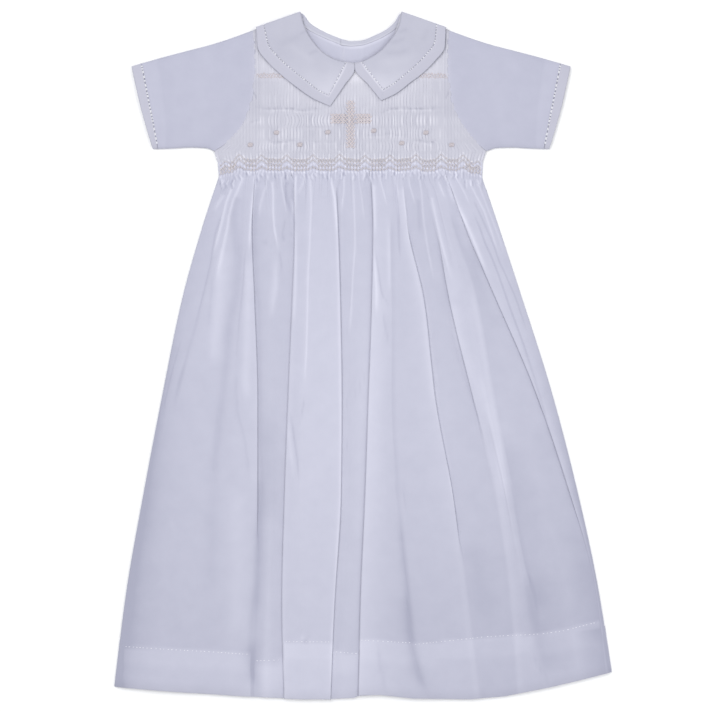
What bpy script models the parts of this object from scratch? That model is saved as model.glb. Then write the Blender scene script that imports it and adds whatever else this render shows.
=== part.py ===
"""A christening gown laid flat on its back, with its front up.

The front is one cloth from neck to hem, drawn in by smocking over the chest. The back has
two bodice halves that overlap at a buttoned placket and a skirt sewn to them. Each collar
half lies on the front, folds over the shoulder and goes on behind. Tables and sizes are in
millimetres: X runs across the gown, Y from hem to neck, Z up from the surface below.
"""

import math
from collections import namedtuple

import bmesh
import bpy

MM = 0.001

# Cloth and clearances
WALL = 1.1
HEM_WALL = 1.8
GAP = 0.3
SEAM_GAP = 0.4

# Heights of the layers above the surface
COLLAR_LIFT = WALL + 0.45
BUTTON_THICKNESS = 1.7
PLACKET_LIFT = BUTTON_THICKNESS + 0.4
FRONT_LOW = WALL + GAP + WALL + 0.3
FRONT_CROWN = 3.3
COLLAR_LAYER = 7.2
SLEEVE_TOP = 3.7

# Lines that the pieces share
CENTRE = -11.5
WAIST = 172.8
HEM_LEVEL = -328.3
HEM_DEPTH = 45.0
PLACKET_HALF = 8.0
COLLAR_REACH = 60.0
CUFF_DEPTH = 11.0

# Buttons
BUTTON_RADIUS = 4.5
BUTTON_HOLE_RADIUS = 0.6
BUTTON_HOLE_SPREAD = 1.2
BUTTON_HEIGHTS = (292.0, 250.0, 208.0)

# The bodice from the waist up: both side edges, and above the underarm both armholes
BodiceRow = namedtuple("BodiceRow", "height left right")
BODICE = (
    BodiceRow(172.8, -139.0, 114.0),
    BodiceRow(184.0, -140.5, 115.5),
    BodiceRow(196.0, -143.0, 119.0),
    BodiceRow(201.0, -135.0, 112.5),
    BodiceRow(209.5, -125.0, 104.0),
    BodiceRow(222.5, -114.0, 94.0),
    BodiceRow(235.0, -109.5, 87.5),
    BodiceRow(247.5, -106.0, 84.0),
    BodiceRow(268.0, -103.5, 81.5),
    BodiceRow(293.0, -103.5, 81.0),
    BodiceRow(312.5, -104.5, 81.5),
)
UNDERARM_ROW = 2

# Edges of the cloth as points, from the left shoulder to the right one
EdgePoint = namedtuple("EdgePoint", "x y")
FRONT_NECK = (
    EdgePoint(-59.5, 328.3),
    EdgePoint(-57.0, 318.0),
    EdgePoint(-53.0, 308.5),
    EdgePoint(-46.5, 299.0),
    EdgePoint(-38.5, 290.5),
    EdgePoint(-26.5, 283.5),
    EdgePoint(-11.5, 280.0),
    EdgePoint(0.5, 282.0),
    EdgePoint(10.0, 287.0),
    EdgePoint(18.0, 293.0),
    EdgePoint(24.5, 300.5),
    EdgePoint(31.0, 309.0),
    EdgePoint(34.5, 319.5),
    EdgePoint(36.5, 328.3),
)
BACK_NECK = (
    EdgePoint(-59.5, 328.3),
    EdgePoint(-50.5, 318.5),
    EdgePoint(-37.0, 310.5),
    EdgePoint(-24.0, 304.5),
    EdgePoint(-11.5, 301.5),
    EdgePoint(-2.0, 302.0),
    EdgePoint(10.0, 306.5),
    EdgePoint(23.5, 313.5),
    EdgePoint(30.5, 320.0),
    EdgePoint(36.5, 328.3),
)
HEM = (
    EdgePoint(-239.0, -318.5),
    EdgePoint(-176.5, -323.5),
    EdgePoint(-114.0, -327.5),
    EdgePoint(-60.5, -330.2),
    EdgePoint(-31.5, -330.2),
    EdgePoint(-8.0, -329.0),
    EdgePoint(-3.0, -326.5),
    EdgePoint(16.5, -326.0),
    EdgePoint(48.0, -329.5),
    EdgePoint(102.5, -330.4),
    EdgePoint(136.5, -327.5),
    EdgePoint(189.0, -317.0),
    EdgePoint(239.0, -304.5),
)

# Folds of the front skirt, from its left edge to its right one: where each line lies across
# the gown at seven levels, and how far it stands up at the waist, the middle and the hem
LEVELS = (172.8, 120.0, 52.8, -43.2, -139.2, -235.2, -328.3)
Fold = namedtuple("Fold", "line across waist_rise middle_rise hem_rise")
FOLDS = (
    Fold("left_side", (-139.0, -155.0, -173.5, -193.0, -211.0, -227.5, -239.0), 0.0, 0.0, 0.0),
    Fold("left_slope", (-125.0, -140.0, -155.5, -184.0, -206.0, -222.0, -233.0), 0.8, 0.9, 0.5),
    Fold("left_ridge", (-121.0, -131.5, -145.0, -161.5, -175.5, -190.0, -195.0), 1.6, 2.8, 1.7),
    Fold("left_trough", (-116.0, -120.0, -124.0, -137.5, -146.0, -150.5, -151.5), 0.8, 0.6, 0.6),
    Fold("pleat_a_back", (-107.5, -110.5, -116.0, -121.5, -108.5, -109.5, -118.0), 2.0, 2.6, 1.2),
    Fold("pleat_a_edge", (-104.0, -106.5, -104.0, -101.0, -101.0, -104.5, -109.5), 2.4, 3.2, 1.4),
    Fold("pleat_a_foot", (-101.0, -103.5, -101.0, -98.0, -98.0, -100.0, -104.0), 0.6, 0.5, 0.3),
    Fold("valley_ab", (-88.0, -85.0, -89.5, -89.5, -88.5, -91.0, -93.0), 1.4, 1.0, 0.6),
    Fold("pleat_b_foot", (-69.5, -69.0, -71.0, -74.5, -78.0, -80.5, -79.0), 0.8, 0.6, 0.3),
    Fold("pleat_b_edge", (-66.5, -66.0, -68.0, -71.5, -75.0, -77.5, -76.0), 2.4, 3.2, 1.9),
    Fold("ridge_b", (-49.0, -52.0, -52.0, -55.5, -57.5, -57.5, -56.5), 2.6, 2.6, 1.4),
    Fold("hollow_bc", (-38.0, -38.0, -37.0, -37.5, -39.0, -42.0, -44.0), 1.8, 2.2, 1.3),
    Fold("pleat_c_edge", (-26.0, -23.5, -21.5, -20.0, -21.0, -27.0, -31.0), 2.6, 3.2, 1.9),
    Fold("pleat_c_foot", (-23.0, -20.5, -18.5, -17.0, -18.0, -24.0, -28.0), 1.6, 0.5, 0.3),
    Fold("channel", (-10.0, -8.5, -9.5, -10.5, -10.5, -14.5, -17.5), 2.0, 1.2, 0.6),
    Fold("pleat_d_foot", (4.5, 6.5, 5.5, 3.0, -1.0, -5.5, -7.5), 1.6, 0.5, 0.3),
    Fold("pleat_d_edge", (7.5, 9.5, 8.5, 6.0, 2.0, -2.5, -4.5), 2.6, 3.2, 2.0),
    Fold("pleat_d_back", (23.0, 26.5, 28.0, 27.0, 32.5, 42.0, 65.5), 2.4, 2.6, 1.5),
    Fold("valley_df", (31.0, 35.0, 40.0, 46.0, 58.0, 74.0, 88.5), 1.2, 1.6, 1.0),
    Fold("pleat_f_edge", (36.5, 43.5, 59.0, 70.0, 87.5, 99.0, 110.5), 2.4, 3.0, 1.2),
    Fold("pleat_f_foot", (39.5, 46.5, 62.0, 73.0, 91.0, 104.0, 117.0), 0.8, 0.8, 0.7),
    Fold("line_g", (58.5, 70.5, 82.5, 105.5, 129.5, 143.0, 150.5), 2.0, 2.4, 1.2),
    Fold("ridge_g", (66.0, 79.5, 97.0, 117.0, 137.5, 154.5, 164.0), 2.6, 2.6, 1.3),
    Fold("trough_h", (73.0, 88.5, 110.5, 127.5, 146.0, 167.0, 180.5), 1.0, 0.8, 0.9),
    Fold("pleat_j_edge", (80.5, 98.0, 125.5, 163.0, 193.0, 218.0, 232.0), 2.2, 2.6, 0.6),
    Fold("right_side", (114.0, 130.5, 151.5, 180.5, 204.5, 224.5, 239.0), 0.0, 0.0, 0.0),
)
SKIRT_STEPS = (0.0, 0.045, 0.105, 0.17, 0.24, 0.335, 0.43, 0.525, 0.62, 0.715, 0.81, 0.9, 0.915, 1.0)
HEM_STEP = 0.91
PLEAT_RIB = 0.4

# Outline of the left sleeve: shoulder line, cuff edge and underarm line
SLEEVE_TOP_LINE = (
    EdgePoint(-104.5, 312.5),
    EdgePoint(-126.5, 304.5),
    EdgePoint(-145.0, 298.5),
    EdgePoint(-168.0, 292.5),
    EdgePoint(-189.0, 287.0),
    EdgePoint(-222.5, 277.5),
)
SLEEVE_CUFF_LINE = (
    EdgePoint(-222.5, 277.5),
    EdgePoint(-220.0, 256.5),
    EdgePoint(-216.0, 238.0),
    EdgePoint(-211.0, 221.0),
    EdgePoint(-204.5, 198.0),
)
SLEEVE_LOWER_LINE = (
    EdgePoint(-143.0, 196.0),
    EdgePoint(-151.5, 199.0),
    EdgePoint(-166.0, 199.5),
    EdgePoint(-185.5, 198.5),
    EdgePoint(-204.5, 198.0),
)

# Each collar half from its front end to the shoulder fold, then on behind to the back:
# the neck edge, the hemstitch line and the outer edge
CollarRow = namedtuple("CollarRow", "neck_x neck_y stitch_x stitch_y outer_x outer_y")
COLLAR_LEFT_FRONT = (
    CollarRow(-18.0, 281.5, -33.0, 249.0, -31.5, 238.5),
    CollarRow(-27.5, 284.0, -43.0, 254.0, -48.0, 246.0),
    CollarRow(-38.5, 290.5, -54.0, 262.0, -60.5, 254.5),
    CollarRow(-46.5, 299.0, -68.5, 271.5, -76.0, 266.5),
    CollarRow(-53.0, 308.5, -82.0, 284.0, -90.0, 279.5),
    CollarRow(-57.0, 318.0, -90.5, 297.5, -101.0, 295.0),
    CollarRow(-59.5, 328.0, -93.5, 316.1, -102.3, 313.0),
)
COLLAR_RIGHT_FRONT = (
    CollarRow(-1.5, 281.7, 19.5, 254.5, 17.5, 244.0),
    CollarRow(8.0, 286.0, 29.0, 260.0, 32.0, 251.0),
    CollarRow(18.0, 293.0, 39.0, 268.0, 45.0, 261.0),
    CollarRow(24.5, 300.5, 49.5, 277.0, 57.0, 270.0),
    CollarRow(31.0, 309.0, 60.5, 288.0, 68.5, 281.5),
    CollarRow(35.0, 318.5, 69.0, 301.0, 78.5, 296.0),
    CollarRow(36.5, 328.0, 70.5, 316.1, 79.3, 313.0),
)
COLLAR_LEFT_BACK = (
    CollarRow(-53.0, 321.3, -84.0, 287.5, -91.5, 281.0),
    CollarRow(-44.5, 315.0, -66.0, 271.5, -71.0, 263.0),
    CollarRow(-35.5, 309.8, -46.0, 264.5, -49.0, 255.0),
    CollarRow(-27.5, 306.2, -27.5, 262.0, -17.5, 251.5),
)
# Front and back ends of the border, where it turns up from the corner to the neck
EndRow = namedtuple("EndRow", "inner_x inner_y outer_x outer_y")
BORDER_LEFT_FRONT = (
    EndRow(-18.0, 281.5, -8.0, 279.3),
    EndRow(-26.0, 264.5, -19.0, 258.5),
)
BORDER_RIGHT_FRONT = (
    EndRow(-1.5, 281.7, -5.5, 276.5),
    EndRow(9.0, 268.0, 5.5, 259.5),
)
BORDER_LEFT_BACK = (
    EndRow(-27.5, 284.0, -17.5, 280.0),
    EndRow(-27.5, 306.2, -17.5, 302.8),
)

# Neck binding on the inside of the back: neck edge and lower edge
BindingRow = namedtuple("BindingRow", "upper_x upper_y lower_x lower_y")
BINDING_LEFT = (
    BindingRow(-57.0, 325.3, -62.5, 319.5),
    BindingRow(-50.5, 318.2, -54.0, 311.8),
    BindingRow(-37.0, 310.2, -39.0, 304.2),
    BindingRow(-20.2, 303.3, -20.6, 297.6),
)
BINDING_RIGHT = (
    BindingRow(-18.8, 302.9, -19.2, 297.4),
    BindingRow(-11.5, 301.2, -11.5, 296.3),
    BindingRow(-2.0, 301.7, 0.0, 296.4),
    BindingRow(4.0, 303.9, 6.0, 298.6),
    BindingRow(10.0, 306.2, 12.5, 301.0),
    BindingRow(23.5, 313.2, 27.0, 307.2),
    BindingRow(35.0, 324.7, 40.0, 318.5),
)

WHITE_COTTON = (0.80, 0.81, 0.86, 1.0)
BINDING_COTTON = (0.82, 0.82, 0.86, 1.0)
BAND_COTTON = (0.84, 0.84, 0.88, 1.0)
SHELL_WHITE = (0.83, 0.80, 0.74, 1.0)


for old in list(bpy.data.objects):
    bpy.data.objects.remove(old, do_unlink=True)

gown = bpy.data.collections.new("christening_gown")
cutters = bpy.data.collections.new("cutters")
bpy.context.scene.collection.children.link(gown)
bpy.context.scene.collection.children.link(cutters)


def ease(value):
    """A smooth step from 0 to 1, held at both ends."""
    value = min(1.0, max(0.0, value))
    return value * value * (3.0 - 2.0 * value)


def mix(a, b, share):
    return a + (b - a) * share


def same_side(x):
    return x


def other_side(x):
    return 2.0 * CENTRE - x


def read(keys, values, key):
    """The value at a key, on straight lines between the keys, which run up or down."""
    pairs = sorted(zip(keys, values))
    if key <= pairs[0][0]:
        return pairs[0][1]
    for (low, at_low), (high, at_high) in zip(pairs, pairs[1:]):
        if key <= high:
            return mix(at_low, at_high, (key - low) / (high - low))
    return pairs[-1][1]


def spread(points, count, keep=()):
    """Points at even distances along a line, with those nearest to the kept ones moved there."""
    lengths = [0.0]
    for a, b in zip(points, points[1:]):
        lengths.append(lengths[-1] + math.hypot(b.x - a.x, b.y - a.y))
    stops = [lengths[-1] * i / (count - 1) for i in range(count)]
    for index in keep:
        nearest = min(range(count), key=lambda i: abs(stops[i] - lengths[index]))
        stops[nearest] = lengths[index]
    xs = [p.x for p in points]
    ys = [p.y for p in points]
    return [EdgePoint(read(lengths, xs, s), read(lengths, ys, s)) for s in stops]


def neck_distance(x, y):
    """Distance in plan from the back neck edge."""
    best = 1e9
    for a, b in zip(BACK_NECK, BACK_NECK[1:]):
        length = math.hypot(b.x - a.x, b.y - a.y)
        share = ((x - a.x) * (b.x - a.x) + (y - a.y) * (b.y - a.y)) / length ** 2
        share = min(1.0, max(0.0, share))
        px = mix(a.x, b.x, share)
        py = mix(a.y, b.y, share)
        best = min(best, math.hypot(x - px, y - py))
    return best


def near_neck(x, y):
    """1 where the collar lies below or above, and 0 well clear of it."""
    return 1.0 - ease((neck_distance(x, y) - COLLAR_REACH) / 18.0)


def placket(x, y):
    """1 along the buttoned overlap at the centre back, and 0 well beside it."""
    beside = 1.0 - ease((abs(x - CENTRE) - 11.0) / 9.0)
    return beside * ease((y - WAIST - 14.0) / 14.0)


def back_low(x, y):
    """Height of the underside of the back where one layer lies on the surface."""
    return max(COLLAR_LIFT * near_neck(x, y), PLACKET_LIFT * placket(x, y))


def under_placket_low(x, y):
    """Height of the underside of the right back half, which lies on the left half."""
    past = x - CENTRE - PLACKET_HALF - 6.0
    return back_low(x, y) + (WALL + GAP) * (1.0 - ease(past / 10.0))


def back_top(x, y):
    """Top of the back layers that the front lies over, above the waist."""
    top = back_low(x, y) + WALL
    if x > CENTRE - PLACKET_HALF - 2.0:
        top = max(top, under_placket_low(x, y) + WALL)
    return top


def front_bodice_top(x, y, share):
    """Top of the smocked chest: a low crown, level where the collar lies on it."""
    across = 2.0 * share - 1.0
    crown = FRONT_CROWN * (1.0 - across ** 4)
    level = FRONT_CROWN * near_neck(x, y)
    return FRONT_LOW + max(crown, level)


def new_material(name, colour, roughness):
    material = bpy.data.materials.new(name)
    material.use_nodes = True
    shader = material.node_tree.nodes["Principled BSDF"]
    shader.inputs["Base Color"].default_value = colour
    shader.inputs["Roughness"].default_value = roughness
    shader.inputs["Metallic"].default_value = 0.0
    material.diffuse_color = colour
    return material


def new_object(name, mesh, colour, roughness=0.9):
    mesh.materials.append(new_material(name + "_cloth", colour, roughness))
    thing = bpy.data.objects.new(name, mesh)
    gown.objects.link(thing)
    return thing


def wall_object(name, rows, colour, ring=False):
    """A closed wall from rows of (outer point, inner point) pairs.

    With ring=True each row closes on itself, so the wall is a tube open at both ends.
    """
    across = len(rows[0])
    points = [pair[0] for row in rows for pair in row]
    points += [pair[1] for row in rows for pair in row]
    inner = len(rows) * across
    steps = across if ring else across - 1
    faces = []
    for i in range(len(rows) - 1):
        for j in range(steps):
            k = (j + 1) % across
            quad = (i * across + j, i * across + k, (i + 1) * across + k, (i + 1) * across + j)
            faces.append(quad)
            faces.append(tuple(inner + index for index in reversed(quad)))
    last = (len(rows) - 1) * across
    for j in range(steps):
        k = (j + 1) % across
        faces.append((k, j, inner + j, inner + k))
        faces.append((last + j, last + k, inner + last + k, inner + last + j))
    if not ring:
        for i in range(len(rows) - 1):
            a = i * across
            b = a + across
            faces.append((a, b, inner + b, inner + a))
            a += across - 1
            b += across - 1
            faces.append((b, a, inner + a, inner + b))
    mesh = bpy.data.meshes.new(name)
    mesh.from_pydata([tuple(c * MM for c in p) for p in points], [], faces)
    shape = bmesh.new()
    shape.from_mesh(mesh)
    bmesh.ops.recalc_face_normals(shape, faces=shape.faces)
    shape.to_mesh(mesh)
    shape.free()
    return new_object(name, mesh, colour)


def bodice_grid(top_points, left_edge, right_edge, rows):
    """Plan points of a bodice piece, row by row from the waist to its top edge.

    left_edge and right_edge give X at each height. top_points has one point a column.
    """
    count = len(top_points)
    waist_left = left_edge(rows[0])
    waist_right = right_edge(rows[0])
    grid = []
    for height in rows:
        share = (height - rows[0]) / (rows[-1] - rows[0])
        bend_left = left_edge(height) - mix(waist_left, top_points[0].x, share)
        bend_right = right_edge(height) - mix(waist_right, top_points[-1].x, share)
        row = []
        for j, top in enumerate(top_points):
            across = j / (count - 1)
            x = mix(mix(waist_left, waist_right, across), top.x, share)
            x += mix(bend_left, bend_right, across)
            y = mix(rows[0], top.y, share)
            row.append((x, y))
        grid.append(row)
    return grid


def fold_column(position, step):
    """Plan point and rise of the skirt front at a position along the list of folds."""
    index = min(int(position), len(FOLDS) - 2)
    share = position - index
    level = mix(WAIST, HEM_LEVEL, step)
    x = mix(read(LEVELS, FOLDS[index].across, level), read(LEVELS, FOLDS[index + 1].across, level), share)
    hem_x = mix(FOLDS[index].across[-1], FOLDS[index + 1].across[-1], share)
    hem_y = read([p.x for p in HEM], [p.y for p in HEM], hem_x)
    y = mix(WAIST, hem_y, step)
    rises = []
    for fold in (FOLDS[index], FOLDS[index + 1]):
        stations = (0.0, 0.16, 0.6, 1.0)
        heights = (fold.waist_rise, fold.middle_rise, fold.middle_rise, fold.hem_rise)
        rises.append(read(stations, heights, step))
    rise = mix(rises[0], rises[1], ease(share))
    return x, y, rise


def make_front():
    """The front: smocked chest and gathered skirt in one cloth."""
    columns = 2 * len(FOLDS) - 1
    edge = [EdgePoint(BODICE[-1].left, BODICE[-1].height)]
    edge += list(FRONT_NECK)
    edge.append(EdgePoint(BODICE[-1].right, BODICE[-1].height))
    top_points = spread(edge, columns, keep=(1, 7, len(edge) - 2))
    tops = []
    for step in reversed(SKIRT_STEPS):
        row = []
        hem = ease((step - HEM_STEP) / 0.004 + 0.5)
        low = FRONT_LOW + 2.0 * (HEM_WALL - WALL) * hem
        for j in range(columns):
            x, y, rise = fold_column(0.5 * j, step)
            row.append((x, y, low + rise))
        tops.append(row)
    heights = [row.height for row in BODICE]
    waist_row = tops[-1]
    chest = bodice_grid(
        top_points,
        lambda h: read(heights, [row.left for row in BODICE], h),
        lambda h: read(heights, [row.right for row in BODICE], h),
        heights,
    )
    for index, (height, row) in enumerate(zip(heights[1:], chest[1:])):
        share = (height - WAIST) / (heights[-1] - WAIST)
        settled = ease((height - WAIST) / 30.0)
        out = []
        for j, (x, y) in enumerate(row):
            even = chest[0][j][0]
            x += (waist_row[j][0] - even) * (1.0 - ease(share / 0.6))
            rib = PLEAT_RIB if j % 2 else 0.0
            rib *= 1.0 - near_neck(x, y)
            smooth = front_bodice_top(x, y, j / (columns - 1)) + (rib if 0 < j < columns - 1 else 0.0)
            out.append((x, y, mix(waist_row[j][2], smooth, settled)))
        tops.append(out)
    rows = []
    for i, row in enumerate(tops):
        in_hem = i < len([s for s in SKIRT_STEPS if s > HEM_STEP])
        wall = HEM_WALL if in_hem else WALL
        pairs = []
        for j, (x, y, z) in enumerate(row):
            a = row[max(0, j - 1)]
            b = row[min(columns - 1, j + 1)]
            slope = (b[2] - a[2]) / max(1.0, b[0] - a[0])
            depth = wall * min(1.5, math.sqrt(1.0 + slope * slope))
            below = wall if y < WAIST else back_top(x, y)
            low = max(z - depth, below + GAP)
            pairs.append(((x, y, max(z, low + 0.8 * wall)), (x, y, low)))
        rows.append(pairs)
    wall_object("front", rows, WHITE_COTTON)


def make_back_skirt():
    """The back skirt, flat on the surface, with low gathers under its waist seam."""
    columns = 19
    steps = (0.0, 0.06, 0.14, 0.3, 0.5, 0.7, 0.9, 0.915, 1.0)
    rows = []
    for step in reversed(steps):
        wall = HEM_WALL if step > HEM_STEP else WALL
        row = []
        for j in range(columns):
            share = j / (columns - 1)
            level = mix(WAIST - SEAM_GAP, HEM_LEVEL, step)
            x = mix(read(LEVELS, FOLDS[0].across, level), read(LEVELS, FOLDS[-1].across, level), share)
            hem_x = mix(FOLDS[0].across[-1], FOLDS[-1].across[-1], share)
            hem_y = read([p.x for p in HEM], [p.y for p in HEM], hem_x)
            y = mix(WAIST - SEAM_GAP, hem_y, step)
            row.append(((x, y, wall), (x, y, 0.0)))
        rows.append(row)
    wall_object("back_skirt", rows, WHITE_COTTON)


def make_back_bodice(name, sign):
    """One back half, from its armhole to past the centre back."""
    heights = [row.height for row in BODICE]
    end = CENTRE - sign * PLACKET_HALF
    if sign < 0:
        neck = [p for p in BACK_NECK if p.x < end - 1.0]
        neck.append(EdgePoint(end, read([p.x for p in BACK_NECK], [p.y for p in BACK_NECK], end)))
        edge = [EdgePoint(BODICE[-1].left, BODICE[-1].height)] + neck
        keep = (1,)
        left = lambda h: read(heights, [row.left for row in BODICE], h)
        right = lambda h: end
        low = back_low
    else:
        neck = [p for p in BACK_NECK if p.x > end + 1.0]
        neck.insert(0, EdgePoint(end, read([p.x for p in BACK_NECK], [p.y for p in BACK_NECK], end)))
        edge = neck + [EdgePoint(BODICE[-1].right, BODICE[-1].height)]
        keep = (len(edge) - 2,)
        left = lambda h: end
        right = lambda h: read(heights, [row.right for row in BODICE], h)
        low = under_placket_low
    grid = bodice_grid(spread(edge, 21, keep), left, right, heights)
    rows = []
    for row in grid:
        rows.append([((x, y, low(x, y) + WALL), (x, y, low(x, y))) for x, y in row])
    wall_object(name, rows, WHITE_COTTON)


def line_point(line, share):
    """The point at a share of the length of a line of points."""
    lengths = [0.0]
    for a, b in zip(line, line[1:]):
        lengths.append(lengths[-1] + math.hypot(b.x - a.x, b.y - a.y))
    at = share * lengths[-1]
    return EdgePoint(read(lengths, [p.x for p in line], at), read(lengths, [p.y for p in line], at))


def line_shares(line):
    """Where each point of a line lies, as a share of its length."""
    lengths = [0.0]
    for a, b in zip(line, line[1:]):
        lengths.append(lengths[-1] + math.hypot(b.x - a.x, b.y - a.y))
    return [length / lengths[-1] for length in lengths]


def sleeve_point(lines, along, down):
    """Plan point of a sleeve between its four outline lines."""
    armhole, upper, cuff, lower = lines
    inner = line_point(armhole, down)
    outer = line_point(cuff, down)
    top = line_point(upper, along)
    bottom = line_point(lower, along)
    point = []
    for axis in (0, 1):
        ruled = mix(inner[axis], outer[axis], along) + mix(top[axis], bottom[axis], down)
        corner_top = mix(upper[0][axis], upper[-1][axis], along)
        corner_bottom = mix(lower[0][axis], lower[-1][axis], along)
        point.append(ruled - mix(corner_top, corner_bottom, down))
    return point


def sleeve_ring(plan, height, wall):
    """One ring of a flattened sleeve, over its upper layer and back under its lower one."""
    last = len(plan) - 1
    upper = []
    under = []
    for j, (x, y) in enumerate(plan):
        if j in (0, last):
            toward = plan[1] if j == 0 else plan[last - 1]
            reach = math.hypot(toward[0] - x, toward[1] - y)
            in_x = x + (toward[0] - x) / reach * wall
            in_y = y + (toward[1] - y) / reach * wall
            upper.append(((x, y, 0.5 * height), (in_x, in_y, 0.5 * height)))
        else:
            round_off = 0.08 * height if j in (1, last - 1) else 0.0
            top = height - round_off
            upper.append(((x, y, top), (x, y, top - wall)))
            under.append(((x, y, round_off), (x, y, round_off + wall)))
    return upper + under[::-1]


def make_sleeve(side, mirror, armhole):
    """A sleeve and the hemstitched band at its cuff, as flattened tubes."""
    upper, cuff, lower = (
        [EdgePoint(mirror(p.x), p.y) for p in line]
        for line in (SLEEVE_TOP_LINE, SLEEVE_CUFF_LINE, SLEEVE_LOWER_LINE)
    )
    lower[0] = armhole[-1]
    lines = (armhole, upper, cuff, lower)
    shares = line_shares(armhole)
    downs = sorted(shares + [0.018, 0.982, 0.22, 0.4])
    lengths = []
    for down in downs:
        start = sleeve_point(lines, 0.0, down)
        end = sleeve_point(lines, 1.0, down)
        lengths.append(math.hypot(end[0] - start[0], end[1] - start[1]))
    rows = []
    for step in (0.0, 0.1, 0.25, 0.42, 0.6, 0.8, 1.0):
        plan = []
        for down, length in zip(downs, lengths):
            along = mix(0.8 / length, 1.0 - (CUFF_DEPTH + GAP) / length, step)
            plan.append(sleeve_point(lines, along, down))
        height = mix(SLEEVE_TOP, SLEEVE_TOP - 0.3, step)
        rows.append(sleeve_ring(plan, height, WALL))
    wall_object("sleeve_" + side, rows, WHITE_COTTON, ring=True)
    band = []
    for depth in (CUFF_DEPTH, 0.5 * CUFF_DEPTH, 0.0):
        plan = [sleeve_point(lines, 1.0 - depth / length, down) for down, length in zip(downs, lengths)]
        band.append(sleeve_ring(plan, SLEEVE_TOP, WALL + 0.3))
    wall_object("sleeve_band_" + side, band, BAND_COTTON, ring=True)


def collar_stations(front, back, mirror):
    """Rows of a collar half with the height, the turn of the fold and its direction."""
    stations = [(row, COLLAR_LAYER, 0.0) for row in front[:-1]]
    middle = 0.5 * (COLLAR_LAYER + 0.5 * WALL)
    half = 0.5 * (COLLAR_LAYER - 0.5 * WALL)
    for turn in range(0, 181, 30):
        angle = math.radians(turn)
        stations.append((front[-1], middle + half * math.cos(angle), angle))
    necks = [p.x for p in BACK_NECK], [p.y for p in BACK_NECK]
    for row in back:
        x = mirror(row.neck_x)
        row = CollarRow(
            x, read(*necks, x) - 0.4, mirror(row.stitch_x), row.stitch_y, mirror(row.outer_x), row.outer_y
        )
        stations.append((row, 0.5 * WALL, math.pi))
    return stations


def folded_pair(x, y, height, angle, away, wall):
    """Outer and inner point of cloth on the shoulder fold, which turns by the angle."""
    roll = 2.0 * math.sin(angle)
    out_x, out_y = away
    side = math.sin(angle) / 2.0
    rise = math.cos(angle) / 3.25
    size = math.hypot(side, rise)
    side *= 0.5 * wall / size
    rise *= 0.5 * wall / size
    x += roll * out_x
    y += roll * out_y
    outer = (x + side * out_x, y + side * out_y, height + rise)
    inner = (x - side * out_x, y - side * out_y, height - rise)
    return outer, inner


def make_collar(side, front, back, front_end, back_end, mirror):
    """One collar half and its mitred border, from the front over the shoulder to the back."""
    stations = collar_stations(front, back, mirror)
    fold = front[-1]
    run_x = fold.neck_x - fold.outer_x
    run_y = fold.neck_y - fold.outer_y
    length = math.hypot(run_x, run_y)
    away = (-run_y / length, run_x / length) if run_x > 0.0 else (run_y / length, -run_x / length)
    rows = []
    for row, height, angle in stations:
        pairs = []
        for share in (0.0, 0.35, 0.7, 1.0):
            x = mix(row.neck_x, row.stitch_x, share)
            y = mix(row.neck_y, row.stitch_y, share)
            pairs.append(folded_pair(x, y, height, angle, away, WALL))
        rows.append(pairs)
    wall_object("collar_" + side, rows, WHITE_COTTON)

    border = [(end, COLLAR_LAYER, 0.0) for end in front_end]
    for row, height, angle in stations:
        border.append((EndRow(row.stitch_x, row.stitch_y, row.outer_x, row.outer_y), height, angle))
    for end in back_end:
        turned = EndRow(mirror(end.inner_x), end.inner_y, mirror(end.outer_x), end.outer_y)
        border.append((turned, 0.5 * WALL, math.pi))
    rows = []
    for end, height, angle in border:
        width = math.hypot(end.outer_x - end.inner_x, end.outer_y - end.inner_y)
        pairs = []
        for share in (0.5 / width, 1.0):
            x = mix(end.inner_x, end.outer_x, share)
            y = mix(end.inner_y, end.outer_y, share)
            pairs.append(folded_pair(x, y, height, angle, away, WALL))
        rows.append(pairs)
    wall_object("collar_border_" + side, rows, BAND_COTTON)


def make_binding(name, table, low):
    """Bias strip on the inside of the back neck edge."""
    rows = []
    for row in table:
        pairs = []
        for share in (0.0, 1.0):
            x = mix(row.upper_x, row.lower_x, share)
            y = mix(row.upper_y, row.lower_y, share)
            z = low(x, y) + WALL + GAP
            pairs.append(((x, y, z + WALL), (x, y, z)))
        rows.append(pairs)
    wall_object(name, rows, BINDING_COTTON)


def make_button(name, height):
    """A flat button with four holes, face down under the overlap of the back."""
    bpy.ops.mesh.primitive_cylinder_add(
        vertices=28, radius=BUTTON_RADIUS * MM, depth=BUTTON_THICKNESS * MM, location=(0.0, 0.0, 0.0)
    )
    button = bpy.context.object
    bevel = button.modifiers.new("rounded rim", "BEVEL")
    bevel.width = 0.35 * MM
    bevel.segments = 1
    for index in range(4):
        angle = math.radians(45.0 + 90.0 * index)
        spot = (BUTTON_HOLE_SPREAD * MM * math.cos(angle), BUTTON_HOLE_SPREAD * MM * math.sin(angle), 0.0)
        bpy.ops.mesh.primitive_cylinder_add(
            vertices=8, radius=BUTTON_HOLE_RADIUS * MM, depth=4.0 * BUTTON_THICKNESS * MM, location=spot
        )
        hole = bpy.context.object
        hole.name = name + "_hole_" + str(index + 1)
        hole.hide_render = True
        cut = button.modifiers.new("thread hole", "BOOLEAN")
        cut.operation = "DIFFERENCE"
        cut.solver = "EXACT"
        cut.object = hole
        for home in list(hole.users_collection):
            home.objects.unlink(hole)
        cutters.objects.link(hole)
        hole.parent = button
    button.name = name
    button.data.name = name
    button.data.materials.append(new_material(name + "_shell", SHELL_WHITE, 0.35))
    button.location = (CENTRE * MM, height * MM, 0.5 * BUTTON_THICKNESS * MM)
    for home in list(button.users_collection):
        home.objects.unlink(button)
    gown.objects.link(button)


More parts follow.
